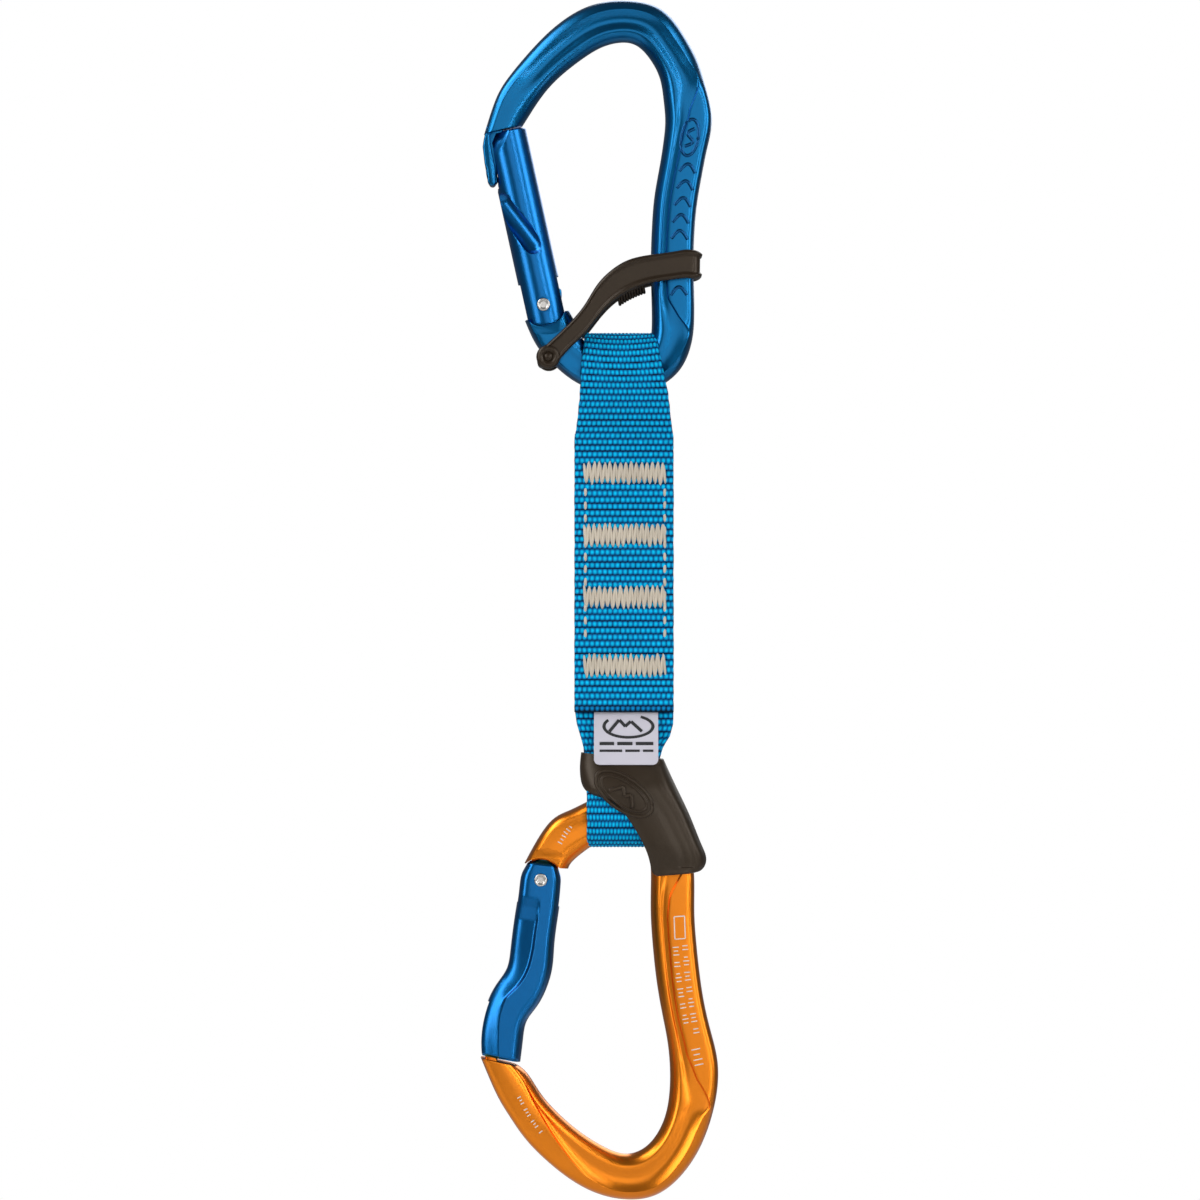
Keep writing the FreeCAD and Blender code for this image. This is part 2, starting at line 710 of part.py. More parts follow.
def bartack(number, middle):
    """Bar tack: thread plates on both faces joined by threads through the layers."""
    label = "bartack_%d" % number
    plates = []
    depth = 1.5 * size("layer_thickness")
    for side in (-1, 1):
        plate = doc.addObject("Part::Box", label + ("_front" if side < 0 else "_back"))
        bind(plate, "Length", cell("bartack_width"))
        bind(plate, "Width", cell("bartack_proud"))
        bind(plate, "Height", cell("bartack_height"))
        low = -depth - size("bartack_proud") if side < 0 else depth
        plate.Placement.Base = V(TACK_X - size("bartack_width") / 2, low,
                                 middle - size("bartack_height") / 2)
        plates.append(plate)
    count = int(size("bartack_holes"))
    pitch = size("bartack_width") / count
    for row in (-0.5, 0.5):
        for column in range(count):
            thread = doc.addObject("Part::Cylinder", "%s_thread" % label)
            bind(thread, "Radius", cell("thread_radius"))
            bind(thread, "Height", "3 * " + cell("layer_thickness"))
            x = TACK_X + (column - (count - 1) / 2) * pitch
            z = middle + row * (size("bartack_height") - size("bartack_hole_inset"))
            thread.Placement = FreeCAD.Placement(V(x, depth, z), FreeCAD.Rotation(V(1, 0, 0), 90))
            plates.append(thread)
    tack = doc.addObject("Part::MultiFuse", label + "_fused")
    tack.Shapes = plates
    add_node(tack, label)


def side_stitch(label, x, top, bottom):
    """Running stitch: dashes in turn on the front and the back, joined through the layers."""
    depth = 1.5 * size("layer_thickness")
    wire = size("thread_radius")
    pitch = size("stitch_pitch")
    dash = size("stitch_length")
    count = int((top - bottom) / pitch)
    pieces = []
    for number in range(count):
        start = top - number * pitch
        pieces.append((V(x, -depth - wire / 2, start), V(x, -depth - wire / 2, start - dash)))
        pieces.append((V(x, -depth, start - dash), V(x, depth, start - dash)))
        if number < count - 1:
            pieces.append((V(x, depth + wire / 2, start - dash),
                           V(x, depth + wire / 2, start - pitch)))
            pieces.append((V(x, -depth, start - pitch), V(x, depth, start - pitch)))
    runs = []
    for number, (begin, finish) in enumerate(pieces):
        run = doc.addObject("Part::Box", "%s_run" % label)
        low = V(min(begin.x, finish.x), min(begin.y, finish.y), min(begin.z, finish.z))
        high = V(max(begin.x, finish.x), max(begin.y, finish.y), max(begin.z, finish.z))
        run.Length = high.x - low.x + 2 * wire
        run.Width = high.y - low.y + 2 * wire
        run.Height = high.z - low.z + 2 * wire
        run.Placement.Base = low - V(wire, wire, wire)
        runs.append(run)
    stitch = doc.addObject("Part::MultiFuse", label + "_fused")
    stitch.Shapes = runs
    add_node(stitch, label)


def cloth_label():
    """Small cloth tag sewn in under the end of the front layer; it leans out over the keeper."""
    body = new_body("sling_label")
    outline = new_sketch(body, "label_outline")
    half = size("label_width") / 2
    draw_polygon(outline, [(-half, 0), (half, 0), (half, -size("label_length")),
                           (-half, -size("label_length"))])
    plate = pad(body, outline, "label_plate", cell("label_thickness"))
    body.Tip = fillet(body, plate, "label_corners", cell("label_rounding"),
                      lambda edge: edge.BoundBox.YLength > 0.1
                      and edge.BoundBox.Center.z < -size("label_length") / 2)
    body.Placement = FreeCAD.Placement(V(LABEL_X, -1.45, LABEL_TOP),
                                       FreeCAD.Rotation(V(1, 0, 0), LABEL_LEAN))
    add_node(body, "sling_label")


SLING_X = 0.75
TACK_X = 0.9
LABEL_X = 1.25
LABEL_TOP = FRONT_LAYER_END - 0.1
LABEL_LEAN = -20.5
BARTACK_MIDDLES = [-107.9, -123.3, -138.8, -155.9]

sewn_webbing()
upper_loop()
lower_loop()
for tack_number, tack_middle in enumerate(BARTACK_MIDDLES, start=1):
    bartack(tack_number, tack_middle)
side_stitch("side_stitch_left", -8.9, -111.6, -152.6)
side_stitch("side_stitch_right", 10.9, -111.6, -152.6)
cloth_label()


# ---------------------------------------------------------------- positioner strap

def positioner():
    """Moulded loop strap: front and back limbs, joined round the spine and round the foot."""
    upper_edge = [(20.6, -54.6), (17.7, -52.4), (7.0, -53.7), (1.2, -55.2), (-2.2, -57.3),
                  (-5.9, -61.0), (-8.9, -65.8), (-12.0, -69.7), (-18.6, -76.0)]
    lower_edge = [(-16.4, -81.2), (-12.4, -76.6), (-8.8, -73.2), (-5.6, -69.2), (-1.3, -64.8),
                  (7.0, -60.8), (17.0, -59.4), (18.3, -60.6), (20.8, -60.2)]
    solid = prism([upper_edge, [upper_edge[-1], lower_edge[0]], lower_edge,
                   [lower_edge[-1], upper_edge[0]]], "xz", 2 * size("strap_outer_half"))
    strap = doc.addObject("Part::Feature", "positioner_limbs")
    strap.Shape = solid
    ball = doc.addObject("Part::Cylinder", "positioner_ball")
    bind(ball, "Radius", cell("strap_ball_radius"))
    bind(ball, "Height", "2 * " + cell("strap_outer_half"))
    ball.Placement = FreeCAD.Placement(V(-18.1, size("strap_outer_half"), -79.0),
                                       FreeCAD.Rotation(V(1, 0, 0), 90))
    whole = boolean("Part::Fuse", "positioner_whole", strap, ball)
    hollow = doc.addObject("Part::Box", "positioner_hollow")
    bind(hollow, "Width", "2 * " + cell("strap_inner_half"))
    hollow.Length = THROUGH
    hollow.Height = THROUGH
    right_inner = upper_edge[0][0] + 0.2 - size("strap_bridge_thickness")
    hollow.Placement.Base = V(right_inner - THROUGH, -size("strap_inner_half"), -THROUGH - 20)
    limbs = boolean("Part::Cut", "positioner_open", whole, hollow)
    pin = doc.addObject("Part::Cylinder", "positioner_pin")
    bind(pin, "Radius", cell("strap_pin_radius"))
    bind(pin, "Height", "2 * " + cell("strap_inner_half") + " + 1")
    pin.Placement = FreeCAD.Placement(V(-19.7, size("strap_inner_half") + 0.5, -80.2),
                                      FreeCAD.Rotation(V(1, 0, 0), 90))
    add_node(boolean("Part::Fuse", "positioner_joined", limbs, pin), "upper_positioner")


positioner()


# ---------------------------------------------------------------- rubber keeper

def keeper():
    """Moulded sleeve over the lower loop, closed round the spine, open towards the gate."""
    front = prism([
        [(-10.2, -177.9), (10.2, -179.4), (11.0, -180.2)],
        [(11.0, -180.2), (16.6, -192.0), (21.4, -203.6), (20.9, -205.9)],
        [(20.9, -205.9), (18.4, -207.3), (12.6, -208.3), (7.6, -208.3), (5.9, -206.9)],
        [(5.9, -206.9), (2.4, -198.2), (-1.2, -192.8), (-4.8, -189.2), (-8.2, -188.0)],
        [(-8.2, -188.0), (-10.0, -184.5), (-10.2, -177.9)],
    ], "xz", THROUGH)
    half = size("keeper_half")
    mouth = 4.6
    ring = 6.9
    side = prism(closed([(-mouth, -177.0), (-6.2, -181.5), (-half, -189.0), (-half, -200.0),
                         (-ring, -210.0), (ring, -210.0), (half, -200.0), (half, -189.0),
                         (6.2, -181.5), (mouth, -177.0)]), "yz", THROUGH)
    gap = size("keeper_clearance")
    room_side = prism(closed([(-3.1 - gap, -176.0), (-3.2 - gap, -182.0), (-6.5 - gap, -188.0),
                              (-7.3 - gap, -193.5), (-7.3 - gap, -205.0), (7.3 + gap, -205.0),
                              (7.3 + gap, -193.5), (6.5 + gap, -188.0), (3.2 + gap, -182.0),
                              (3.1 + gap, -176.0)]), "yz", THROUGH)
    room_front = prism(closed([(-9.9, -176.0), (-9.6, -190.0), (-9.6, -205.0), (3.0, -205.0),
                               (9.6, -200.5), (10.4, -190.0), (10.4, -181.0), (9.4, -176.0)]),
                       "xz", THROUGH)
    bar_room = clear_bar("keeper_bar_room", LOWER_BAR, LOWER_END, LOWER_SHOULDER,
                         size("keeper_bar_clearance"))
    parts = {}
    for name, shape in (("front", front), ("side", side), ("room_side", room_side),
                        ("room_front", room_front)):
        parts[name] = doc.addObject("Part::Feature", "keeper_" + name)
        parts[name].Shape = shape
    blank = boolean("Part::Common", "keeper_blank", parts["front"], parts["side"])
    room = boolean("Part::Common", "keeper_room", parts["room_front"], parts["room_side"])
    hollow = boolean("Part::Cut", "keeper_hollow", blank, room)
    add_node(boolean("Part::Cut", "keeper_clear", hollow, bar_room), "rubber_keeper")


keeper()


# ---------------------------------------------------------------- check and write

doc.recompute()
for obj in doc.Objects:
    if "Invalid" in obj.State or "Error" in obj.State:
        raise RuntimeError("%s failed to recompute: %s" % (obj.Name, obj.State))
for node in NODES:
    if node.Shape.isNull() or not node.Shape.isValid() or not node.Shape.Solids:
        raise RuntimeError("%s has no valid solid" % node.Label)

os.makedirs("parts", exist_ok=True)
for node in NODES:
    node.Shape.exportStep("parts/%s.step" % node.Label)
    print("%-20s %2d solid(s) %9.1f mm3" % (node.Label, len(node.Shape.Solids), node.Shape.Volume))
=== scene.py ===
import math
import random

import bmesh
import bpy
import numpy as np
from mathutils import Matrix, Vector
from mathutils.bvhtree import BVHTree


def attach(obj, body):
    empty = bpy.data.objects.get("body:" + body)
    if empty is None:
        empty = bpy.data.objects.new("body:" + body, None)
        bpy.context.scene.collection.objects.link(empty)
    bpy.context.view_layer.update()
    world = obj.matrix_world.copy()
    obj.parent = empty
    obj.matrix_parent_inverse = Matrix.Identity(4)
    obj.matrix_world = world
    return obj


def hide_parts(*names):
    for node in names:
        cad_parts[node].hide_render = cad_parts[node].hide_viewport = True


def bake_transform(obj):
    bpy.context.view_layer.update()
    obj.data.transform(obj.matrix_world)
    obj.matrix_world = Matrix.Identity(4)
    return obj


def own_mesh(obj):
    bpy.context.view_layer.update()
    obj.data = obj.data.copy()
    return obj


# Looks of the climbing quickdraw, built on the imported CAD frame.
# Shapes are written in millimetres and turned into metres when a mesh is made.

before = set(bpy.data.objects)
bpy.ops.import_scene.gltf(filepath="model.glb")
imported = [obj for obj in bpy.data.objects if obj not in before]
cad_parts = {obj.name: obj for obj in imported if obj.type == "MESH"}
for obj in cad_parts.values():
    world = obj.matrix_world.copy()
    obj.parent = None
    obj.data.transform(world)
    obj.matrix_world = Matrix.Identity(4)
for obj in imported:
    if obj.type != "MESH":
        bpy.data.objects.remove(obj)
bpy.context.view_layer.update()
MM = 0.001
rng = random.Random(7)

# Shared places, as in the CAD source, in mm
UPPER_HINGE = (-19.3, -65.9)
LOWER_HINGE = (-20.0, -209.25)
UPPER_TILT = 12.4
LOWER_TILT = 12.6
LOWER_BORE_TILT = 6.3
UPPER_TIP = 44.4
LOWER_TIP = 46.2
BAR_HALF = 4.8
PAST = 12          # half depth of a tool that goes right through a piece
TANG_HALF = 1.8
GATE_RADIUS = 5.15
TACK_X = 0.9
TACK_MIDDLES = (-107.9, -123.3, -138.8, -155.9)


# ---------------------------------------------------------------- curves

def spline(knots, rows, at):
    """Natural cubic spline through rows at knots, read at the given places."""
    rows = np.array(rows, float)
    knots = np.array(knots, float)
    step = np.diff(knots)
    n = len(knots)
    left = np.eye(n)
    right = np.zeros_like(rows)
    for i in range(1, n - 1):
        left[i, i - 1:i + 2] = step[i - 1], 2 * (step[i - 1] + step[i]), step[i]
        right[i] = 6 * ((rows[i + 1] - rows[i]) / step[i] - (rows[i] - rows[i - 1]) / step[i - 1])
    bend = np.linalg.solve(left, right)
    at = np.clip(np.array(at, float), knots[0], knots[-1])
    k = np.clip(np.searchsorted(knots, at, side="right") - 1, 0, n - 2)
    h = step[k][:, None]
    u = (at - knots[k])[:, None]
    v = h - u
    return ((bend[k] * v**3 + bend[k + 1] * u**3) / (6 * h)
            + (rows[k] / h - bend[k] * h / 6) * v + (rows[k + 1] / h - bend[k + 1] * h / 6) * u)


def lengths(points):
    """Distance run along a line of points, at each of them."""
    points = np.array(points, float)
    return np.concatenate([[0], np.cumsum(np.linalg.norm(np.diff(points, axis=0), axis=1))])


def through(points, count):
    """count points, evenly spaced, on a smooth curve through the given ones."""
    knots = lengths(points)
    fine = spline(knots, points, np.linspace(0, knots[-1], count * 6))
    run = lengths(fine)
    even = np.linspace(0, run[-1], count)
    return np.stack([np.interp(even, run, fine[:, i]) for i in range(fine.shape[1])], axis=1)


def full_turn(count):
    """count angles, evenly spaced round a circle."""
    return np.linspace(0, 2 * math.pi, count, endpoint=False)


def sideways(knots, middle):
    """Unit normals of a smooth curve, at its knots."""
    small = 0.05
    tangent = spline(knots, middle, knots + small) - spline(knots, middle, knots - small)
    tangent /= np.linalg.norm(tangent, axis=1)[:, None]
    return np.stack([-tangent[:, 1], tangent[:, 0]], axis=1)


def sides_of(corners, count):
    """The straight sides from corner to corner, each as count even points."""
    return [[(a[0] + (b[0] - a[0]) * t, a[1] + (b[1] - a[1]) * t)
             for t in np.linspace(0, 1, count)] for a, b in zip(corners, corners[1:])]


def ease(t):
    """Smooth step from 0 to 1."""
    t = np.clip(t, 0, 1)
    return t * t * (3 - 2 * t)


def blur(values, width):
    """Evens out a row of values, its ends kept."""
    kernel = np.hanning(width + 2)
    padded = np.pad(values, width, mode="edge")
    return np.convolve(padded, kernel / kernel.sum(), mode="same")[width:-width]


# ---------------------------------------------------------------- meshes

def shade(mesh, angle=None):
    """Smooth shading, apart from edges sharper than angle."""
    mesh.polygons.foreach_set("use_smooth", [True] * len(mesh.polygons))
    if angle:
        mesh.set_sharp_from_angle(angle=math.radians(angle))


def mesh_object(name, points, faces, angle=None):
    """New object from points in mm; edges sharper than angle stay hard."""
    mesh = bpy.data.meshes.new(name)
    mesh.from_pydata([tuple(p) for p in np.array(points, float) * MM], [], faces)
    mesh.validate()
    shade(mesh, angle)
    obj = bpy.data.objects.new(name, mesh)
    bpy.context.scene.collection.objects.link(obj)
    return obj


def skin(name, rings, angle=None):
    """Closed surface over rings of equal size; rings is rows x points x 3."""
    rows, count = rings.shape[:2]
    faces = []
    for i in range(rows - 1):
        a = i * count
        b = a + count
        for j in range(count):
            k = (j + 1) % count
            faces.append((a + j, a + k, b + k, b + j))
    faces.append(tuple(range(count))[::-1])
    faces.append(tuple((rows - 1) * count + j for j in range(count)))
    obj = mesh_object(name, rings.reshape(-1, 3), faces, angle)
    outward(obj)
    return obj


def outward(obj):
    """Makes every face of a closed mesh point outward."""
    bm = bmesh.new()
    bm.from_mesh(obj.data)
    bmesh.ops.recalc_face_normals(bm, faces=bm.faces)
    if bm.calc_volume(signed=True) < 0:
        bmesh.ops.reverse_faces(bm, faces=bm.faces)
    bm.to_mesh(obj.data)
    bm.free()


def plate(name, outline, low, high, bevel=0.0):
    """Flat piece: an (x, z) outline spread from y = low to y = high, its edges softened."""
    outline = np.array(outline, float)
    count = len(outline)
    points = [(x, y, z) for y in (low, high) for x, z in outline]
    faces = [tuple(range(count)), tuple(range(count, 2 * count))[::-1]]
    for j in range(count):
        k = (j + 1) % count
        faces.append((j, j + count, k + count, k))
    obj = mesh_object(name, points, faces, 35)
    outward(obj)
    if bevel:
        soften(obj, bevel)
    return obj


def apply_modifiers(obj):
    """Makes what the modifiers give the object's own mesh."""
    graph = bpy.context.evaluated_depsgraph_get()
    fresh = bpy.data.meshes.new_from_object(obj.evaluated_get(graph))
    obj.modifiers.clear()
    old = obj.data
    obj.data = fresh
    bpy.data.meshes.remove(old)


def soften(obj, width, angle=35, segments=2):
    """Small rounds along the sharp edges, so that they catch the light."""
    bevel = obj.modifiers.new("bevel", "BEVEL")
    bevel.width = width * MM
    bevel.segments = segments
    bevel.limit_method = "ANGLE"
    bevel.angle_limit = math.radians(angle)
    bevel.harden_normals = False
    apply_modifiers(obj)
    shade(obj.data, 50)


def cut(obj, tools):
    """Takes the tools away from obj, and deletes them."""
    for tool in tools:
        step = obj.modifiers.new("cut", "BOOLEAN")
        step.operation = "DIFFERENCE"
        step.object = tool
        step.solver = "MANIFOLD"
        apply_modifiers(obj)
        bpy.data.objects.remove(tool)
    shade(obj.data, 35)


def joined(obj, others):
    """Adds the others' meshes to obj as further shells of the same piece."""
    bm = bmesh.new()
    bm.from_mesh(obj.data)
    for other in others:
        bm.from_mesh(other.data)
        bpy.data.objects.remove(other)
    bm.to_mesh(obj.data)
    bm.free()
    return obj


def rod(name, start, end, radius, sides=48, dome=0.0):
    """Round bar between two points, with domed ends if dome is 1."""
    start, end = np.array(start, float), np.array(end, float)
    along = end - start
    length = np.linalg.norm(along)
    along /= length
    side = np.cross(along, (0, 1, 0) if abs(along[1]) < 0.9 else (1, 0, 0))
    side /= np.linalg.norm(side)
    other = np.cross(along, side)
    profile = [(0.0, radius), (length, radius)]
    if dome:
        turns = np.linspace(0, math.pi / 2, 9)[:-1]
        head = [(-radius * dome * math.cos(t), radius * math.sin(t) + 1e-3) for t in turns]
        profile = head + profile + [(length - a, r) for a, r in head[::-1]]
    angles = full_turn(sides)
    rings = np.array([[start + along * a + (side * math.cos(t) + other * math.sin(t)) * r
                       for t in angles] for a, r in profile])
    return skin(name, rings, angle=35)


def lathe(name, centre, profile, sides=64, angle=40):
    """Turned piece about the Y direction through centre (x, z); profile is (radius, y) rows."""
    angles = full_turn(sides)
    rings = np.array([[(centre[0] + r * math.cos(t), y, centre[1] + r * math.sin(t))
                       for t in angles] for r, y in profile])
    return skin(name, rings, angle=angle)


class Axes:
    """Plane coordinates of a gate: across points into the carabiner, along to the gate's tip."""

    def __init__(self, hinge, tilt, upward):
        angle = math.radians(tilt)
        self.hinge = np.array([hinge[0], 0, hinge[1]])
        self.along = np.array([-math.sin(angle), 0, upward * math.cos(angle)])
        self.across = np.array([math.cos(angle), 0, upward * math.sin(angle)])

    def at(self, across, along):
        point = self.hinge + self.across * across + self.along * along
        return (point[0], point[2])

    def deep(self, across, along, y):
        x, z = self.at(across, along)
        return (x, y, z)

    def line(self, rows, tip=0):
        """Places of (across, along) rows, along counted from tip."""
        return [self.at(a, tip + b) for a, b in rows]


UPPER = Axes(UPPER_HINGE, UPPER_TILT, 1)
LOWER = Axes(LOWER_HINGE, LOWER_TILT, -1)
LOWER_BORE = Axes(LOWER_HINGE, LOWER_BORE_TILT, -1)


# ---------------------------------------------------------------- forged frames

UPPER_BAR = [
    (-27.4, -16.9, 9.2), (-24.4, -11.9, 9.6), (-18.9, -5.4, 9.8), (-12.8, 0.0, 10.6),
    (-6.2, 3.9, 10.8), (0.9, 5.1, 10.5), (7.0, 3.6, 11.0), (11.4, -1.2, 10.4),
    (14.5, -7.1, 10.4), (16.1, -13.6, 11.1), (16.9, -19.5, 11.7), (16.1, -25.7, 11.1),
    (15.0, -31.9, 10.8), (13.7, -39.4, 10.8), (13.1, -46.0, 10.7), (12.8, -57.0, 10.7),
    (13.0, -69.0, 10.6), (12.6, -74.2, 10.3), (10.6, -79.2, 9.9), (6.6, -82.3, 9.5),
    (0.9, -83.5, 9.4), (-5.2, -82.6, 9.4), (-10.3, -80.1, 9.4), (-13.9, -76.6, 10.0),
    (-16.3, -73.0, 11.2),
]
LOWER_BAR = [
    (-26.8, -261.1, 9.4), (-24.2, -265.3, 9.6), (-20.6, -270.1, 10.2), (-14.4, -276.1, 10.8),
    (-8.0, -280.6, 11.3), (-1.4, -283.3, 11.3), (5.9, -283.0, 11.8), (11.9, -278.4, 11.2),
    (16.0, -271.1, 11.1), (17.9, -263.3, 11.7), (18.2, -255.8, 12.0), (17.0, -248.4, 11.1),
    (15.4, -240.8, 10.8), (14.2, -233.2, 10.9), (13.4, -225.7, 10.9), (12.9, -218.2, 10.9),
    (12.9, -211.0, 10.9), (12.6, -205.0, 10.6), (10.9, -199.6, 10.3), (7.1, -195.2, 10.0),
    (1.6, -193.0, 9.8), (-4.2, -193.6, 10.0), (-9.5, -196.2, 10.4), (-14.2, -199.2, 11.2),
]
# Along each bar, counted in its rows: where the ridge between web and outer face runs
# (-1 inner edge, 1 outer edge), how deep the web is, how far the outer face slopes down,
# and how far that face is a raised flat panel rather than a slope.
UPPER_FORM = [
    (-1, 0.55, 0.00, 0.5, 0), (0, 0.55, 0.00, 0.6, 0), (0.8, 0.52, 0.12, 0.9, 0),
    (1.6, 0.48, 0.75, 1.5, 0), (3, 0.46, 1.15, 1.7, 0), (5, 0.50, 1.15, 1.7, 0),
    (7, 0.46, 1.15, 1.7, 0), (7.9, 0.56, 1.05, 1.6, 0), (8.5, 0.78, 0.95, 1.2, 0.1),
    (8.85, 0.66, 0.85, 0.4, 0.7), (9.1, 0.45, 0.8, 0.1, 1), (9.6, 0.1, 0.8, 0, 1),
    (10.6, -0.14, 0.8, 0, 1), (12, -0.2, 0.8, 0, 1), (14.5, -0.25, 0.75, 0, 1),
    (15.6, -0.22, 0.7, 0, 1), (16.0, 0.3, 0.65, 0.1, 0.9), (16.6, 0.85, 0.6, 0.6, 0.5),
    (17.2, 0.72, 0.6, 1.2, 0), (18, 0.55, 0.6, 1.6, 0), (20, 0.5, 0.5, 1.5, 0),
    (22, 0.72, 0.35, 1.3, 0), (23, 0.8, 0.15, 1.0, 0), (25, 0.8, 0.0, 0.8, 0),
]
LOWER_FORM = [
    (-1, -0.62, 0.0, 0.4, 1), (0, -0.60, 0.15, 0.4, 1), (1, -0.5, 0.6, 0.4, 0.9),
    (2, -0.32, 0.85, 0.5, 0.7), (3, 0.05, 1.0, 0.8, 0.4), (4, 0.42, 1.1, 1.3, 0.1),
    (5, 0.58, 1.15, 1.6, 0), (6.2, 0.6, 1.15, 1.7, 0), (7, 0.52, 1.1, 1.7, 0),
    (8, 0.5, 1.0, 1.6, 0), (8.5, 0.6, 0.9, 1.2, 0.1), (8.8, 0.86, 0.85, 0.4, 0.7),
    (9.1, 0.6, 0.85, 0.1, 1), (9.6, 0.12, 0.8, 0, 1), (10.4, -0.2, 0.8, 0, 1),
    (11.6, -0.28, 0.8, 0, 1), (13.5, -0.22, 0.75, 0, 1), (15, -0.2, 0.75, 0, 1),
    (15.7, -0.1, 0.75, 0, 1), (16.4, 0.35, 0.7, 0, 1), (17.0, 0.85, 0.6, 0.6, 0.5),
    (18, 0.7, 0.6, 1.2, 0), (20, 0.6, 0.6, 1.4, 0), (22, 0.62, 0.5, 1.2, 0.2),
    (23, 0.66, 0.3, 0.9, 0.3), (24, 0.7, 0.2, 0.7, 0.3),
]
BEAD = -0.62       # where the inner bead ends, across the bar
RIDGE_STEP = 0.07  # how wide the ridge's inner face is, across the bar
STATIONS = 430
HINGE_HOLE = 1.7
CLEVIS_ROUND = 5.5


def bar_sides(rows, first, last, stations):
    """The two edges of a bar at even stations, and the stations counted in rows."""
    rows = np.array(rows, float)
    knots = lengths(rows[:, :2])
    normal = sideways(knots, rows[:, :2]) * rows[:, 2:3] / 2
    left = np.vstack([[first[0]], rows[:, :2] + normal, [last[0]]])
    right = np.vstack([[first[1]], rows[:, :2] - normal, [last[1]]])
    middle = (left + right) / 2
    knots = lengths(middle)
    at = np.linspace(0, knots[-1], stations)
    number = np.interp(at, knots, np.arange(len(knots))) - 1
    return spline(knots, left, at), spline(knots, right, at), number


def mirrored_ring(start, end, u, y):
    """Ring of a piece that is the same front and back: u runs -1 to 1 from start to end."""
    y[0] = y[-1] = 0
    xz = (start + end) / 2 + (end - start) / 2 * u[:, None]
    front = np.stack([xz[:, 0], -y, xz[:, 1]], axis=1)
    back = np.stack([xz[:, 0], y, xz[:, 1]], axis=1)[1:-1][::-1]
    return np.vstack([front, back])


def section_places(ridge):
    """Places across the bar, inner edge to outer edge, with close ones along the ridge."""
    bead = np.minimum(BEAD, ridge - 0.12)
    rows = []
    for t in np.sin(np.linspace(0, math.pi / 2, 13)[:-1]):
        rows.append(-1 + (bead + 1) * (1 - math.sqrt(max(0, 1 - t * t))) ** 0.8)
    for t in np.linspace(0, 1, 17)[:-1]:
        rows.append(bead + (ridge - RIDGE_STEP - bead) * t)
    for t in (0.0, 0.25, 0.5, 0.75, 1.0):
        rows.append(ridge - RIDGE_STEP * (1 - t))
    for t in (0.1, 0.25, 0.42, 0.6, 0.72, 0.82, 0.9, 0.95, 0.98, 0.995, 1.0):
        rows.append(ridge + (1 - ridge) * t)
    return np.array(rows)


def section_height(u, ridge, depth, drop, panel):
    """Half thickness across the bar: round inner bead, web, ridge, then slope or panel."""
    bead = min(BEAD, ridge - 0.12)
    inner = (1 - np.clip(-u, 0, 1) ** 2.6) ** 0.5
    outer = (1 - np.clip(u, 0, 1) ** 9) ** 0.4
    base = BAR_HALF * np.where(u < 0, inner, outer)
    t = np.clip((u - bead) / max(ridge - bead, 1e-6), 0, 1)
    soft = np.where(t < 0.5, (1 - np.cos(2 * math.pi * t)) / 2, np.cos(math.pi * (t - 0.5)))
    hard = ease(t / 0.45)
    hard = hard * ease((ridge - u) / RIDGE_STEP)
    web = depth * ((1 - panel) * soft + panel * hard)
    slope = drop * np.clip((u - ridge) / (1 - ridge), 0, 1)
    return np.maximum(base - np.where(u < ridge, web, 0) - slope, 0.0)


def forged_bar(name, rows, first, last, inner_is_left, form):
    """Bar of a frame: rows of (x, z, width) between two given ends, each (left, right)."""
    left, right, number = bar_sides(rows, first, last, STATIONS)
    inner, outer = (left, right) if inner_is_left else (right, left)
    form = np.array(form, float)
    looks = [blur(np.interp(number, form[:, 0], form[:, i]), 7) for i in range(1, 5)]
    rings = []
    for i in range(STATIONS):
        ridge, depth, drop, panel = (look[i] for look in looks)
        u = section_places(ridge)
        y = section_height(u, ridge, depth, drop, panel)
        rings.append(mirrored_ring(inner[i], outer[i], u, y))
    return skin(name, np.array(rings), angle=60)


def tang(name, axes):
    """The tongue between the gate's ears, a cam over the hinge."""
    rim = []
    for degrees in range(-90, 100, 5):
        turn = math.radians(degrees)
        rise = max(-0.35, min(turn, 1.05)) - max(0, turn - 1.05) * 2
        radius = 4.2 + 1.6 * rise
        rim.append(axes.at(radius * math.sin(turn), radius * math.cos(turn)))
    rim += [axes.at(4.2, -8.0), axes.at(-2.2, -7.6)]
    return plate(name, rim, -TANG_HALF, TANG_HALF, 0.2)


def nose(name, axes, tip, rim):
    """The nose: a thin blade with a bulb at its end; rim is how far out its edge runs."""
    root, middle, bulb = rim
    left = axes.line([(-root, 2.5), (-middle, -3.0), (-bulb, -8.5)], tip)
    end = axes.line([(-bulb, -8.5), (-bulb - 0.1, -10.5), (-bulb + 0.9, -12.4),
                     (-bulb + 2.2, -11.9), (-bulb + 2.5, -10.2)], tip)
    right = axes.line([(-bulb + 2.5, -10.2), (-2.6, -5.0), (0.4, 2.5)], tip)
    left, end, right = through(left, 12), through(end, 24), through(right, 12)
    return plate(name, np.vstack([left, end[1:], right[1:]]), -1.7, 1.7, 0.35)


def nose_rim(name, axes, tip):
    """Thick outer edge of the upper nose, with a lip and a bulb, outside the gate's tip."""
    outer = [(-4.4, 2.2), (-5.1, 0.4), (-5.75, -0.9), (-6.4, -2.6), (-6.85, -7.0),
             (-6.62, -8.3), (-6.7, -9.4), (-7.05, -11.3), (-6.7, -12.4), (-5.9, -12.75)]
    inner = [(-5.2, -12.3), (-4.45, -8.5), (-4.35, -2.0), (-3.6, 2.2)]
    return plate(name, axes.line(outer + inner, tip), -3.3, 3.3, 0.9)


def drum(name, hinge, radius, low, high):
    """Plain cylinder across the piece."""
    return lathe(name, hinge, [(radius, low), (radius, high)], 96)


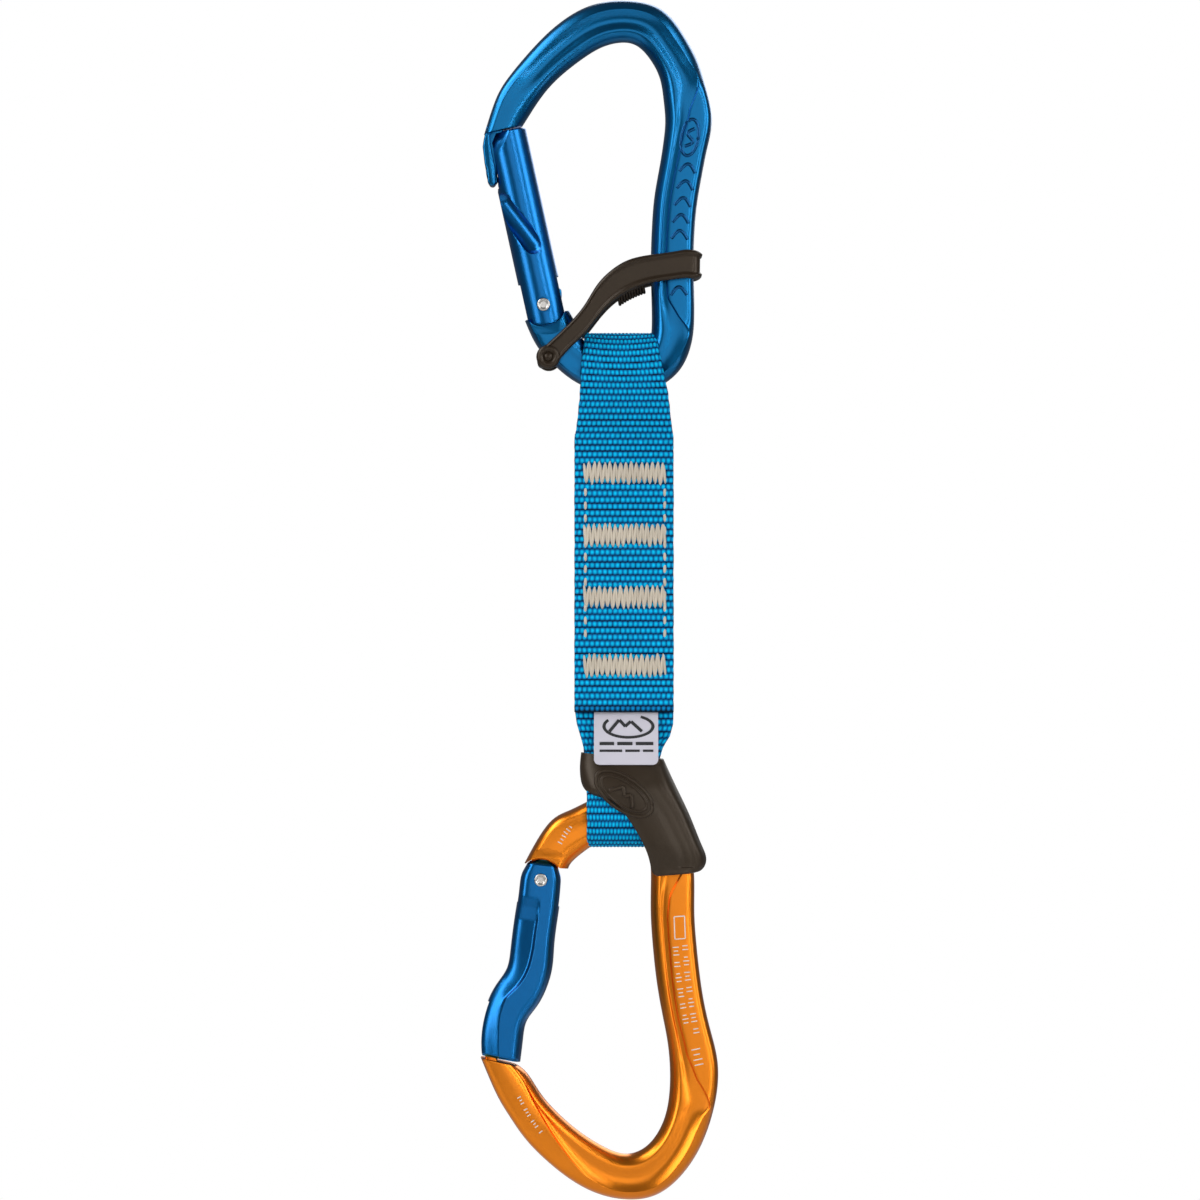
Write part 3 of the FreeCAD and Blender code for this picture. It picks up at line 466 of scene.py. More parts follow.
def forged_frame(name, node, bar_shape, axes, bore, tip, rim, recess):
    """Frame of a carabiner: its bar, the tongue in the gate and the nose, replacing the CAD node.

    bar_shape is what forged_bar takes, and recess is (across, up, radius) round the hinge.
    """
    bar = forged_bar(name, *bar_shape)
    hinge = (axes.hinge[0], axes.hinge[2])
    tools = [drum("tool", hinge, CLEVIS_ROUND, -PAST, PAST)]
    for side in (-1, 1):
        low, high = sorted((side * (BAR_HALF - 0.55), side * PAST))
        centre = (hinge[0] + recess[0], hinge[1] + recess[1])
        tools.append(drum("tool", centre, recess[2], low, high))
    cut(bar, tools)
    soften(bar, 0.14, 40)
    hole = drum("tool", hinge, HINGE_HOLE, -PAST, PAST)
    tongue = tang("tongue", bore)
    cut(tongue, [hole])
    joined(bar, [tongue, nose("blade", axes, tip, rim)])
    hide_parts(node)
    return bar


UPPER_NOSE_END = (UPPER.at(-5.4, UPPER_TIP + 0.5), UPPER.at(4.4, UPPER_TIP + 0.5))
UPPER_SHOULDER = ((-24.0, -69.8), (-12.9, -67.2))
LOWER_NOSE_END = (LOWER.at(4.6, LOWER_TIP + 0.5), LOWER.at(-5.0, LOWER_TIP + 0.5))
LOWER_SHOULDER = ((-13.2, -206.6), (-24.1, -205.2))

upper_frame = forged_frame(
    "upper_frame_forged", "upper_frame",
    (UPPER_BAR, UPPER_NOSE_END, UPPER_SHOULDER, False, UPPER_FORM),
    UPPER, UPPER, UPPER_TIP, rim=(4.2, 6.3, 6.9), recess=(0.6, 0.6, 8.0))
joined(upper_frame, [nose_rim("rim", UPPER, UPPER_TIP)])
lower_frame = forged_frame(
    "lower_frame_forged", "lower_frame",
    (LOWER_BAR, LOWER_NOSE_END, LOWER_SHOULDER, True, LOWER_FORM),
    LOWER, LOWER_BORE, LOWER_TIP, rim=(3.2, 4.6, 4.9), recess=(0.9, -0.6, 8.3))


# ---------------------------------------------------------------- gates

def block(name, corner, edges):
    """Box tool from a corner and three edge vectors."""
    corner = np.array(corner, float)
    a, b, c = (np.array(e, float) for e in edges)
    points = [corner + i * a + j * b + k * c for i in (0, 1) for j in (0, 1) for k in (0, 1)]
    faces = [(0, 1, 3, 2), (4, 6, 7, 5), (0, 4, 5, 1), (2, 3, 7, 6), (0, 2, 6, 4), (1, 5, 7, 3)]
    obj = mesh_object(name, points, faces)
    outward(obj)
    return obj


def gate_tools(axes, bore, tip, facet):
    """Tools for the clevis slot, keylock slot, bore and rivet hole, and for a facet by the tip."""
    tools = []
    if facet:
        outline = axes.line([(-9, 3), (-3.9, 3), (-3.85, -8), (-4.75, -13), (-5.6, -16),
                             (-9, -16)], tip)
        tools.append(plate("tool", outline, -PAST, PAST))
    slot = axes.line([(-9, 3), (1.2, 3), (-1.2, -5), (-2.2, -13.6), (-9, -13.6)], tip)
    tools.append(plate("tool", slot, -2.05, 2.05))
    clevis = bore.line([(-12, -9), (12, -9), (12, 6.3), (-12, 6.3)])
    tools.append(plate("tool", clevis, -2.1, 2.1))
    tools.append(rod("tool", bore.deep(0, 3.6, 0), bore.deep(0, 24, 0), 2.4))
    hinge = (axes.hinge[0], axes.hinge[2])
    tools.append(drum("tool", hinge, 1.63, -PAST, PAST))
    return tools


def straight_gate(name, node):
    """Turned gate with a round foot, two flats at its tip and a slanting groove on each side."""
    rows = [(-5.3, GATE_RADIUS)] + [(a, GATE_RADIUS) for a in np.linspace(-4, 43.6, 30)]
    rows += [(UPPER_TIP - 0.35, GATE_RADIUS), (UPPER_TIP, GATE_RADIUS - 0.4)]
    angles = full_turn(128)
    rings = np.array([[UPPER.hinge + UPPER.along * a + UPPER.across * (r * math.cos(t))
                       + np.array([0, r * math.sin(t), 0]) for t in angles] for a, r in rows])
    gate = skin(name, rings, angle=35)
    turns = np.linspace(0, math.pi / 2, 9)
    arc = [(0.95 + 4.25 * math.cos(t), -0.65 - 4.25 * math.sin(t)) for t in turns]
    foot = [(9, -0.65)] + arc + [(-x, a) for x, a in arc[::-1]] + [(-9, -0.65), (-9, -9), (9, -9)]
    tools = [plate("tool", UPPER.line(foot), -PAST, PAST)]
    tools += gate_tools(UPPER, UPPER, UPPER_TIP, True)
    lean = math.radians(24)
    turn = math.radians(40)
    for side in (-1, 1):
        radial = UPPER.across * -math.sin(turn) + np.array([0, side * math.cos(turn), 0])
        normal = radial * math.cos(lean) + UPPER.along * math.sin(lean)
        wide = np.cross(normal, UPPER.along)
        wide /= np.linalg.norm(wide)
        high = np.cross(normal, wide)
        start = UPPER.hinge + UPPER.along * UPPER_TIP + radial * 3.15
        corner = start - wide * 10 - high * 10
        tools.append(block("tool", corner, (wide * 20, high * 20, normal * 6)))
        groove_start = UPPER.deep(-4.9, 27.0, side * 3.3)
        groove_end = UPPER.deep(0.6, 15.2, side * 6.0)
        tools.append(rod("tool", groove_start, groove_end, 2.6, 48, 1.0))
    cut(gate, tools)
    soften(gate, 0.12, 30)
    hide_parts(node)
    return gate


BENT_LINE = [
    (-20.4, -213.2, 10.6), (-21.3, -219.5, 10.7), (-22.1, -226.0, 10.8), (-22.8, -231.6, 11.0),
    (-24.9, -236.6, 11.4), (-27.6, -240.6, 11.2), (-29.3, -245.2, 10.7), (-29.9, -250.0, 10.6),
]
# Along the bent gate, in rows of its line: where the crease between hollow and face runs,
# and how deep the hollow is
BENT_FORM = [(-5, 0.0, 0.0), (0.1, 0.1, 0.0), (0.5, 0.14, 0.5), (1.0, 0.16, 1.5), (2.0, 0.14, 1.7),
             (3.0, 0.0, 1.9), (4.0, -0.16, 2.1), (4.8, -0.3, 1.9), (5.6, -0.25, 1.5),
             (6.5, -0.14, 1.4), (8.5, -0.05, 1.2)]


def bent_gate(name, node):
    """Forged gate along BENT_LINE, its outer half hollowed as far as the crease."""
    rows = np.array(BENT_LINE)
    knots = lengths(rows[:, :2])
    normal = sideways(knots, rows[:, :2]) * rows[:, 2:3] / 2
    crown = [(1.2, -5.05), (2.9, -4.35), (4.2, -2.9), (5.0, -1.0), (5.25, 1.0)]
    left = LOWER_BORE.line(crown) + list(rows[:, :2] + normal)
    right = LOWER_BORE.line([(-c, a) for c, a in crown]) + list(rows[:, :2] - normal)
    left.append(LOWER.at(4.9, LOWER_TIP - 0.6))
    right.append(LOWER.at(-5.1, LOWER_TIP - 0.2))
    left, right = np.array(left), np.array(right)
    middle = (left + right) / 2
    knots = lengths(middle)
    at = np.linspace(0, knots[-1], 300)
    number = np.interp(at, knots, np.arange(len(knots))) - len(crown)
    inner, outer = spline(knots, left, at), spline(knots, right, at)
    form = np.array(BENT_FORM)
    crease = blur(np.interp(number, form[:, 0], form[:, 1]), 9)
    depth = blur(np.interp(number, form[:, 0], form[:, 2]), 9)
    rings = []
    for i in range(len(at)):
        e = crease[i]
        u = np.concatenate([-1 + (e + 1) * np.sin(np.linspace(0, 1, 26)[:-1] * math.pi / 2) ** 1.3,
                            [e, e + 0.03], np.linspace(e + 0.08, 0.7, 8),
                            0.7 + 0.3 * np.sin(np.linspace(0, math.pi / 2, 11)[1:])])
        base = BAR_HALF * np.where(u < 0, (1 - np.clip(-u, 0, 1) ** 6) ** 0.42,
                                   (1 - np.clip((u - 0.55) / 0.45, 0, 1) ** 2.2) ** 0.5)
        hollow = np.clip((e - u) / (e + 1), 0, 1)
        open_side = np.sin(hollow * math.pi / 2) ** 0.75
        pocket = ease(hollow / 0.16) * (0.45 + 0.65 * hollow)
        low_end = ease((number[i] - 4.5) / 0.9)
        y = base - depth[i] * (pocket * (1 - low_end) + open_side * low_end) * (base / BAR_HALF)
        y = y * (1 - 0.28 * ease(1 - at[i] / 1.6)) * (1 - 0.12 * ease(1 - (at[-1] - at[i]) / 0.8))
        rings.append(mirrored_ring(outer[i], inner[i], u, y))
    gate = skin(name, np.array(rings), angle=60)
    cut(gate, gate_tools(LOWER, LOWER_BORE, LOWER_TIP, False))
    soften(gate, 0.12, 38)
    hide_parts(node)
    return gate


def rivet(name, node, hinge, half):
    """Pressed rivet: a rolled ring round a dimple at each end."""
    rim = [(1.60, half - 0.1), (1.60, half + 0.12), (1.52, half + 0.24), (1.36, half + 0.3),
           (1.18, half + 0.26), (1.0, half + 0.1), (0.9, half - 0.12), (0.72, half - 0.14),
           (0.3, half - 0.12), (0.001, half - 0.12)]
    profile = [(r, -y) for r, y in rim[::-1]] + rim
    pin = lathe(name, hinge, profile, 48, 60)
    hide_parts(node)
    return pin


def coil(name, node, axes):
    """Gate spring: a closed helix tube."""
    first, last, turns, radius, wire = 10.98, 23.62, 9, 1.85, 0.28
    rings = []
    for t in np.linspace(0, 1, turns * 28):
        angle = 2 * math.pi * turns * t
        out_dir = axes.across * math.cos(angle) + np.array([0, math.sin(angle), 0])
        centre = axes.hinge + axes.along * (first + (last - first) * t) + out_dir * radius
        rings.append([centre + (out_dir * math.cos(v) + axes.along * math.sin(v)) * wire
                      for v in full_turn(10)])
    spring = skin(name, np.array(rings), angle=60)
    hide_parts(node)
    return spring


upper_gate = straight_gate("upper_gate_turned", "upper_gate")
lower_gate = bent_gate("lower_gate_bent", "lower_gate")
upper_rivet = rivet("upper_rivet", "upper_gate_rivet", UPPER_HINGE, GATE_RADIUS - 0.05)
lower_rivet = rivet("lower_rivet", "lower_gate_rivet", LOWER_HINGE, BAR_HALF)
upper_spring = coil("upper_spring", "upper_gate_spring", UPPER)
lower_spring = coil("lower_spring", "lower_gate_spring", LOWER_BORE)


# ---------------------------------------------------------------- webbing

SEWN_TOP = -101.0
FRONT_END = -167.5
JOIN = -131.0
ROW_PITCH = 1.63   # from one row of the weave to the next
COLUMNS = 19.5     # yarns across the webbing
ACROSS = 98        # points across its woven side
LAYER = 2.0        # thickness of one layer
EDGE_ROUND = 0.85
# Edges of the webbing, height by height: z, left x, right x
UPPER_EDGES = [(-167.5, -11.6, 13.1), (-99.0, -11.6, 13.1), (-97.0, -11.2, 12.8),
               (-88.5, -10.3, 11.8), (-80.0, -9.8, 10.0), (-73.0, -9.1, 8.7)]
LOWER_EDGES = [(-203.0, -8.5, 8.2), (-190.0, -8.5, 9.0), (-180.0, -9.0, 9.4),
               (-176.5, -9.3, 10.4), (-173.5, -10.1, 12.2), (-170.5, -11.0, 13.0),
               (-166.0, -11.6, 13.1), (-97.0, -11.6, 13.1)]


def edges_at(table, z):
    """Left and right edge of the webbing at a height."""
    table = np.array(sorted(table))
    return np.interp(z, table[:, 0], table[:, 1]), np.interp(z, table[:, 0], table[:, 2])


def webbing_strip(name, line, table, step, sag=0.0, ends=()):
    """Woven strip along a (y, z) line; its outer side carries the weave as real relief.

    sag is how far the rows droop in the middle near the upper bar, and ends are the
    places along the line where the strip is cut and sealed, which makes it darker.
    """
    run = lengths(line)
    count = int(run[-1] / step)
    centre = through(line, count)
    tangent = np.gradient(centre, axis=0)
    tangent /= np.linalg.norm(tangent, axis=1)[:, None]
    outer_normal = np.stack([-tangent[:, 1], tangent[:, 0]], axis=1)
    along = lengths(centre)
    t = np.linspace(0, 1, ACROSS)
    t = t - 0.01 * np.sin(2 * math.pi * t)
    back = np.linspace(1, 0, 14)[1:-1]
    rings = []
    painted_weave_light_and_seal = []
    wobble = [rng.uniform(-1, 1) for _ in range(count // 6 + 3)]
    for i in range(count):
        z = centre[i, 1]
        left, right = edges_at(table, z)
        edge_noise = 0.10 * np.interp(i / 6, np.arange(len(wobble)), wobble)
        left, right = left + edge_noise, right - edge_noise
        x = left + (right - left) * t
        rim = np.minimum(x - left, right - x)
        inward = np.maximum(0, EDGE_ROUND - rim)
        drop = EDGE_ROUND - np.sqrt(np.maximum(0, EDGE_ROUND**2 - inward ** 2))
        bend = sag * ease((z + 92) / 18) * (1 - (2 * t - 1) ** 2)
        rows = (along[i] + bend) / ROW_PITCH
        row_place = 2 * (rows - np.floor(rows)) - 1
        columns = t * COLUMNS + 0.5 * np.mod(np.floor(rows), 2)
        column_place = 2 * (columns - np.floor(columns)) - 1
        bead = np.clip(1 - row_place ** 2, 0, 1) * np.clip(1 - 0.8 * column_place ** 2, 0, 1)
        bump = 2 * bead ** 0.6 - 1
        relief = 0.24 * bump * np.clip(rim / 0.7, 0.25, 1)
        tack = 0
        for middle in TACK_MIDDLES:
            tack = max(tack, ease(1.6 - abs(z - middle) / 2.6))
        relief = relief * (1 - 0.4 * tack) - 0.22 * tack
        height = LAYER / 2 - 0.12 - drop + relief
        offset = centre[i] + outer_normal[i] * height[:, None]
        ring = np.stack([x, offset[:, 0], offset[:, 1]], axis=1)
        inside = centre[i] - outer_normal[i] * (LAYER / 2 - 0.1)
        rear = np.array([(left + 0.5 + (right - left - 1.0) * b, inside[0], inside[1])
                         for b in back])
        rings.append(np.vstack([ring, rear]))
        seal = min((abs(along[i] - end) for end in ends), default=99)
        dark = 0.45 * (1 - ease(seal / 2.0))
        # Colour value: low in the weave's hollows as painted shade, high on the beads as a painted
        # highlight, and lowered near the sealed ends.
        shade = np.clip(0.5 + 0.5 * bump - dark, 0, 1)
        painted_weave_light_and_seal.append(np.concatenate([shade, np.full(len(back), 0.4)]))
    strip = skin(name, np.array(rings))
    layer = strip.data.attributes.new("painted_weave_light_and_seal", "FLOAT", "POINT")
    layer.data.foreach_set("value", np.concatenate(painted_weave_light_and_seal).astype(np.float32))
    return strip


top_half = [(-2.0, FRONT_END), (-2.0, -150.0), (-2.0, -125.0), (-2.0, -108.0), (-2.1, SEWN_TOP),
            (-3.8, -94.5), (-5.8, -87.3), (-6.3, -82.0), (-4.9, -76.8)]
upper_line = top_half + [(0.0, -73.8)] + [(-y, z) for y, z in top_half[::-1] if z > JOIN]
upper_line.append((2.0, JOIN))
sling_upper = webbing_strip("webbing_upper", upper_line, UPPER_EDGES, 0.26, 0.9, [0.0])
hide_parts("sling_webbing", "sling_upper_loop")
loop_half = [(2.0, JOIN - 0.3), (2.0, -150.0), (1.9, -166.0), (1.15, -175.75), (2.2, -182.0),
             (5.1, -188.0), (6.3, -193.5), (4.6, -198.4)]
lower_line = loop_half + [(0.0, -200.2)] + [(-y, z) for y, z in loop_half[:4:-1]]
lower_line += [(-2.2, -182.0), (-1.1, -175.75), (-0.2, -168.0), (0.0, -155.0),
               (0.0, -130.0), (0.0, -98.0)]
sling_lower = webbing_strip("webbing_lower", lower_line, LOWER_EDGES, 0.30)
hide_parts("sling_lower_loop")


# ---------------------------------------------------------------- sewing

def strands(name, paths):
    """Many closed threads in one piece; each path is (points, radii)."""
    points, faces = [], []
    for line, radii in paths:
        line = np.array(line, float)
        tangent = np.gradient(line, axis=0)
        sides = 8
        base = len(points)
        for k, centre in enumerate(line):
            along = tangent[k] / np.linalg.norm(tangent[k])
            side = np.cross(along, (0, 1, 0))
            side = side / np.linalg.norm(side)
            other = np.cross(side, along)
            for v in full_turn(sides):
                points.append(centre + side * math.cos(v) * radii[k][0]
                              + other * math.sin(v) * radii[k][1])
        for k in range(len(line) - 1):
            for j in range(sides):
                n = (j + 1) % sides
                a, b = base + k * sides, base + (k + 1) * sides
                faces.append((a + j, a + n, b + n, b + j))
        faces.append(tuple(base + j for j in range(sides))[::-1])
        faces.append(tuple(base + (len(line) - 1) * sides + j for j in range(sides)))
    obj = mesh_object(name, points, faces)
    outward(obj)
    return obj


def bartack(number, middle):
    """Dense zigzag of thread on both faces, drawn tight."""
    paths = []
    threads = 31
    width = 20.4
    for face in (-1, 1):
        for k in range(threads):
            x = TACK_X - width / 2 + width * (k + 0.5) / threads
            lean = 0.30 if k % 2 else -0.30
            high = 2.75 + rng.uniform(-0.45, 0.35)
            low = -2.7 + rng.uniform(-0.35, 0.45)
            level = 3.02 + (0.16 if k % 2 else 0.04) + rng.uniform(-0.04, 0.04)
            line, radii = [], []
            for s in np.linspace(0, 1, 13):
                arch = math.sin(math.pi * s)
                z = middle + low + (high - low) * s
                sink = 0.45 * (1 - min(1, arch / 0.45)) ** 1.5
                sway = lean * (s - 0.5) * 2 * (1 - 0.3 * arch)
                line.append((x + sway, face * (level - sink), z))
                radii.append((0.16 + 0.24 * arch ** 0.6, 0.14 + 0.16 * arch ** 0.6))
            paths.append((line, radii))
    tack = strands("bartack_thread_%d" % number, paths)
    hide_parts("bartack_%d" % number)
    return tack


def running_stitch(name, node, x, top, bottom):
    """Dashes of thread down both faces, half a pitch apart front and back."""
    paths = []
    pitch, dash = 3.2, 2.1
    for face in (-1, 1):
        shift = 0 if face < 0 else pitch / 2
        for k in range(int((top - bottom) / pitch)):
            start = top - shift - k * pitch + rng.uniform(-0.1, 0.1)
            wander = rng.uniform(-0.12, 0.12)
            line, radii = [], []
            for s in np.linspace(0, 1, 9):
                arch = math.sin(math.pi * s) ** 0.5
                level = 2.78 + 0.28 * arch
                line.append((x + wander * (s - 0.5), face * level, start - dash * s))
                radii.append((0.12 + 0.26 * arch, 0.10 + 0.16 * arch))
            paths.append((line, radii))
    stitch = strands(name, paths)
    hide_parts(node)
    return stitch


tacks = [bartack(i, z) for i, z in enumerate(TACK_MIDDLES, start=1)]
stitches = [running_stitch("stitch_left", "side_stitch_left", -8.9, -111.6, -152.6),
            running_stitch("stitch_right", "side_stitch_right", 10.9, -111.6, -152.6)]


# ---------------------------------------------------------------- positioner strap

STRAP_UPPER = [(-18.6, -76.0), (-12.0, -69.7), (-8.9, -65.8), (-5.9, -61.0), (-2.2, -57.3),
               (1.2, -55.2), (7.0, -53.7), (14.0, -52.7), (18.0, -52.6), (19.9, -54.0)]
STRAP_LOWER = [(-16.4, -81.2), (-12.4, -76.6), (-8.8, -73.2), (-5.6, -69.2), (-1.3, -64.8),
               (2.6, -62.4), (7.0, -60.8), (13.0, -59.8), (17.6, -59.6), (19.9, -60.4)]
STRAP_LEVEL = 6.65
STRAP_WALL = 1.25


def strap_section(steps=44):
    """Section of the strap: (across, out) with two raised rails on its outer side."""
    rows = []
    for v in np.linspace(-1, 1, steps):
        rail = math.exp(-((abs(v) - 0.78) / 0.13) ** 2)
        edge = max(0.0, abs(v) - 0.86) / 0.14
        rows.append((v, STRAP_WALL - 0.55 * (1 - rail) * (1 - edge) - 0.75 * edge ** 2))
    for v in np.linspace(1, -1, 12):
        edge = max(0.0, abs(v) - 0.8) / 0.2
        rows.append((v * 0.985, -STRAP_WALL + 0.6 * edge ** 2))
    return rows


def strap_place(low, high, level, turn):
    """One ring of the strap between its two edges, moved by level (x, y).

    turn is 0 on the front, a right angle round the spine and two on the back.
    """
    out_dir = np.array([math.sin(turn), -math.cos(turn), 0])
    low, high = np.array([low[0], level[1], low[1]]), np.array([high[0], level[1], high[1]])
    low[0] += level[0]
    high[0] += level[0]
    round_end = 1 - 0.11 * math.sin(turn) ** 2
    return [(low + high) / 2 + (high - low) / 2 * v * round_end + out_dir * h
            for v, h in strap_section()]


def positioner():
    """Moulded strap: front and back limbs joined round the spine, a ball and a pin at the foot."""
    upper = through(STRAP_UPPER, 120)
    lower = through(STRAP_LOWER, 120)
    last = 112
    corner = 1.5
    right_angle = math.pi / 2
    places = [(k, 0, -STRAP_LEVEL, 0) for k in range(last)]
    places += [(last, corner * math.sin(t), -STRAP_LEVEL + corner * (1 - math.cos(t)), t)
               for t in np.linspace(0, right_angle, 10)[1:]]
    places += [(last, corner, level, right_angle) for level in np.linspace(-4.5, 4.5, 7)]
    places += [(last, corner * math.sin(t), STRAP_LEVEL - corner * (1 + math.cos(t)), t)
               for t in np.linspace(right_angle, math.pi, 10)[:-1]]
    places += [(k, 0, STRAP_LEVEL, math.pi) for k in range(last)[::-1]]
    rings = [strap_place(lower[k], upper[k], (shift, level), turn)
             for k, shift, level, turn in places]
    strap = skin("positioner_strap", np.array(rings), angle=60)
    extras = [rod("pin", (-19.7, -5.6, -80.2), (-19.7, 5.6, -80.2), 1.2)]
    for side in (-1, 1):
        knob = [(2.9, 5.4), (3.0, 6.4), (2.95, 7.2), (2.6, 7.75), (2.1, 7.95), (1.65, 7.85),
                (1.35, 7.45), (1.15, 7.35), (0.95, 7.6), (0.6, 7.85), (0.001, 7.95)]
        extras.append(lathe("ball", (-18.1, -79.0), [(r, side * y) for r, y in knob], 64, 50))
    for k in range(10):
        foot = lower[62 + 2 * k]
        start, end = (foot[0], 5.9, foot[1] + 0.7), (foot[0] + 0.3, 6.6, foot[1] - 1.0)
        extras.append(rod("rib", start, end, 0.40, 16, 1.0))
    joined(strap, extras)
    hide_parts("upper_positioner")
    return strap


positioner_strap = positioner()


# ---------------------------------------------------------------- rubber keeper

KEEPER_LEFT = [(-10.0, -177.6), (-10.3, -180.5), (-10.1, -184.3), (-8.8, -187.5), (-5.0, -189.4),
               (-1.2, -192.9), (2.4, -198.2), (5.0, -204.4), (6.2, -207.3), (7.6, -208.3)]
KEEPER_RIGHT = [(10.6, -179.2), (12.0, -182.3), (14.2, -187.0), (16.6, -192.0), (18.6, -196.8),
                (20.4, -201.2), (21.3, -204.0), (20.9, -205.9), (20.0, -206.9), (18.6, -207.4)]
KEEPER_DEEP = 8.7
KEEPER_WALL = 1.1
KEEPER_SQUARE = 3.4   # how square the section is; 2 would be an ellipse
KEEPER_ROWS = 110
KEEPER_TURNS = 120


def keeper_depth(z):
    """Half the sleeve's depth: it swells below its top edge and draws in at its foot."""
    return KEEPER_DEEP - 4.1 * (1 - ease((-176 - z) / 12)) - 1.8 * ease((-200 - z) / 11)


def keeper_point(left, right, turn, wall, swell):
    """A point of the sleeve's section; turn 0 is at the spine side, 90 on the front."""
    power = 2 / KEEPER_SQUARE
    c, n = math.cos(turn), math.sin(turn)
    u = math.copysign(abs(c) ** power, c)
    v = math.copysign(abs(n) ** power, n)
    middle, half = (left + right) / 2, (right - left) / 2
    length = np.linalg.norm(half)
    at = middle + half * (1 - wall / length) * u
    depth = keeper_depth(at[1]) - wall
    rail = math.exp(-((u - 0.86) / 0.07) ** 2) if v > 0 else 0
    pan = ease((0.8 - u) / 0.25) * ease((u - 0.05) / 0.3)
    depth += (0.25 * rail - 0.45 * pan * swell) * (wall == 0)
    return (at[0], -depth * v, at[1])


def keeper():
    """Sleeve with a wall, closed round the spine and open towards the gate."""
    left = through(KEEPER_LEFT, KEEPER_ROWS)
    right = through(KEEPER_RIGHT, KEEPER_ROWS)
    rings = []
    for k in range(KEEPER_ROWS):
        along = k / (KEEPER_ROWS - 1)
        gape = math.radians(6 + 46 * ease((along - 0.18) / 0.2))
        turns = np.linspace(math.pi - gape, -math.pi + gape, KEEPER_TURNS)
        swell = ease(along / 0.2) * ease((1 - along) / 0.12)
        lip = 0.35 * math.exp(-((along - 0.97) / 0.03) ** 2) + 0.2 * math.exp(-(along / 0.03) ** 2)
        lip = lip if lip > 0.01 else 0
        outer = [keeper_point(left[k], right[k], t, -lip * abs(math.sin(t)), swell)
                 for t in turns]
        inner = [keeper_point(left[k], right[k], t, KEEPER_WALL, 0) for t in turns[::-1]]
        rings.append(outer + inner)
    sleeve = skin("keeper_sleeve", np.array(rings), angle=60)
    soften(sleeve, 0.3, 50, 3)
    surface = np.array([ring[:KEEPER_TURNS] for ring in rings]).reshape(-1, 3)
    surface = surface[surface[:, 1] < 0]

    def front(x, z):
        """The level of the sleeve's front face."""
        away = (surface[:, 0] - x) ** 2 + (surface[:, 2] - z) ** 2
        near = np.argsort(away)[:4]
        share = 1 / (away[near] + 1e-4)
        return float((surface[near, 1] * share).sum() / share.sum())

    def raised(points, radius, rise):
        line = [(x, front(x, z) - rise, z) for x, z in points]
        return (line, [(radius, radius)] * len(line))

    def leaning(a, b, z):
        """The mark's own (a, b), turned by its lean and set at height z."""
        return (0.7 + a * math.cos(lean) - b * math.sin(lean),
                z + a * math.sin(lean) + b * math.cos(lean))

    lean = math.radians(-35)
    paths = []
    for long_half, short_half, radius in ((8.1, 3.9, 0.5), (6.6, 2.75, 0.36)):
        turns = np.linspace(math.radians(25), math.radians(385), 90)
        ring = [leaning(long_half * math.cos(t), short_half * math.sin(t), -187.6) for t in turns]
        ring = [p for p in ring if p[1] < -181.0]
        paths.append(raised(ring, radius, -0.08))
    peaks = [(-3.6, -1.4), (-1.2, 1.5), (0.3, -0.2), (1.5, 1.0), (3.6, -1.4)]
    for side in sides_of([leaning(a, b, -187.8) for a, b in peaks], 9):
        paths.append(raised(side, 0.55, 0.0))
    joined(sleeve, [strands("raised", paths)])
    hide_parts("rubber_keeper")
    return sleeve


keeper_sleeve = keeper()


# ---------------------------------------------------------------- label

LABEL_TOP = -167.4
LABEL_X = 1.25
LABEL_HALF = 8.0
LABEL_LENGTH = 14.0
LABEL_LEAN = math.radians(20.5)


def label_place(across, down, out):
    """A point of the label: it leans out, and its lower corners curl a little."""
    curl = 0.25 * (down / LABEL_LENGTH) ** 2 * math.cos(across / LABEL_HALF * 2.2)
    y = -1.55 - down * math.sin(LABEL_LEAN) - out * math.cos(LABEL_LEAN) + curl
    z = LABEL_TOP - down * math.cos(LABEL_LEAN) + out * math.sin(LABEL_LEAN)
    return (LABEL_X + across, y, z)


def cloth_label():
    """Woven label with fine ribs and two rounded lower corners."""
    rings = []
    corner = 1.4
    for down in np.linspace(0, LABEL_LENGTH, 71):
        short = max(0.0, down - (LABEL_LENGTH - corner))
        half = LABEL_HALF - corner + math.sqrt(max(corner ** 2 - short ** 2, 0.01))
        ring = []
        for t in np.linspace(-1, 1, 81):
            rib = 0.018 * math.cos(t * 81 * math.pi / 2) * math.cos(down * 9)
            ring.append(label_place(half * t, down, 0.16 + rib))
        for t in np.linspace(1, -1, 9):
            ring.append(label_place(half * t * 0.995, down, -0.12))
        rings.append(ring)
    tag = skin("label_tag", np.array(rings), angle=60)
    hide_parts("sling_label")
    return tag


def label_print():
    """Generic mark: an open ring round a zigzag skyline, over two rows of plain bars."""
    paths = []

    def line(points, radius):
        paths.append(([label_place(a, d, 0.18) for a, d in points], [(radius, 0.1)] * len(points)))

    ring = [(0.6 + 6.1 * math.cos(t), 4.0 + 2.9 * math.sin(t))
            for t in np.linspace(math.radians(-60), math.radians(215), 60)]
    line(ring, 0.42)
    skyline = [(-4.1, 5.3), (-1.7, 2.3), (-0.2, 4.0), (1.2, 2.7), (3.9, 5.3)]
    for side in sides_of(skyline, 7):
        line(side, 0.46)
    for down, thick, bars in ((8.6, 0.55, ((-6.6, -3.0), (-2.2, 1.6), (2.4, 6.8))),
                              (10.4, 0.36, ((-6.6, -1.0), (-0.2, 3.4), (4.2, 6.8)))):
        for start, end in bars:
            line([(a, down) for a in np.linspace(start, end, 9)], thick)
    return strands("label_mark", paths)


label_tag = cloth_label()
label_mark = label_print()


# ---------------------------------------------------------------- generic marks on the frames

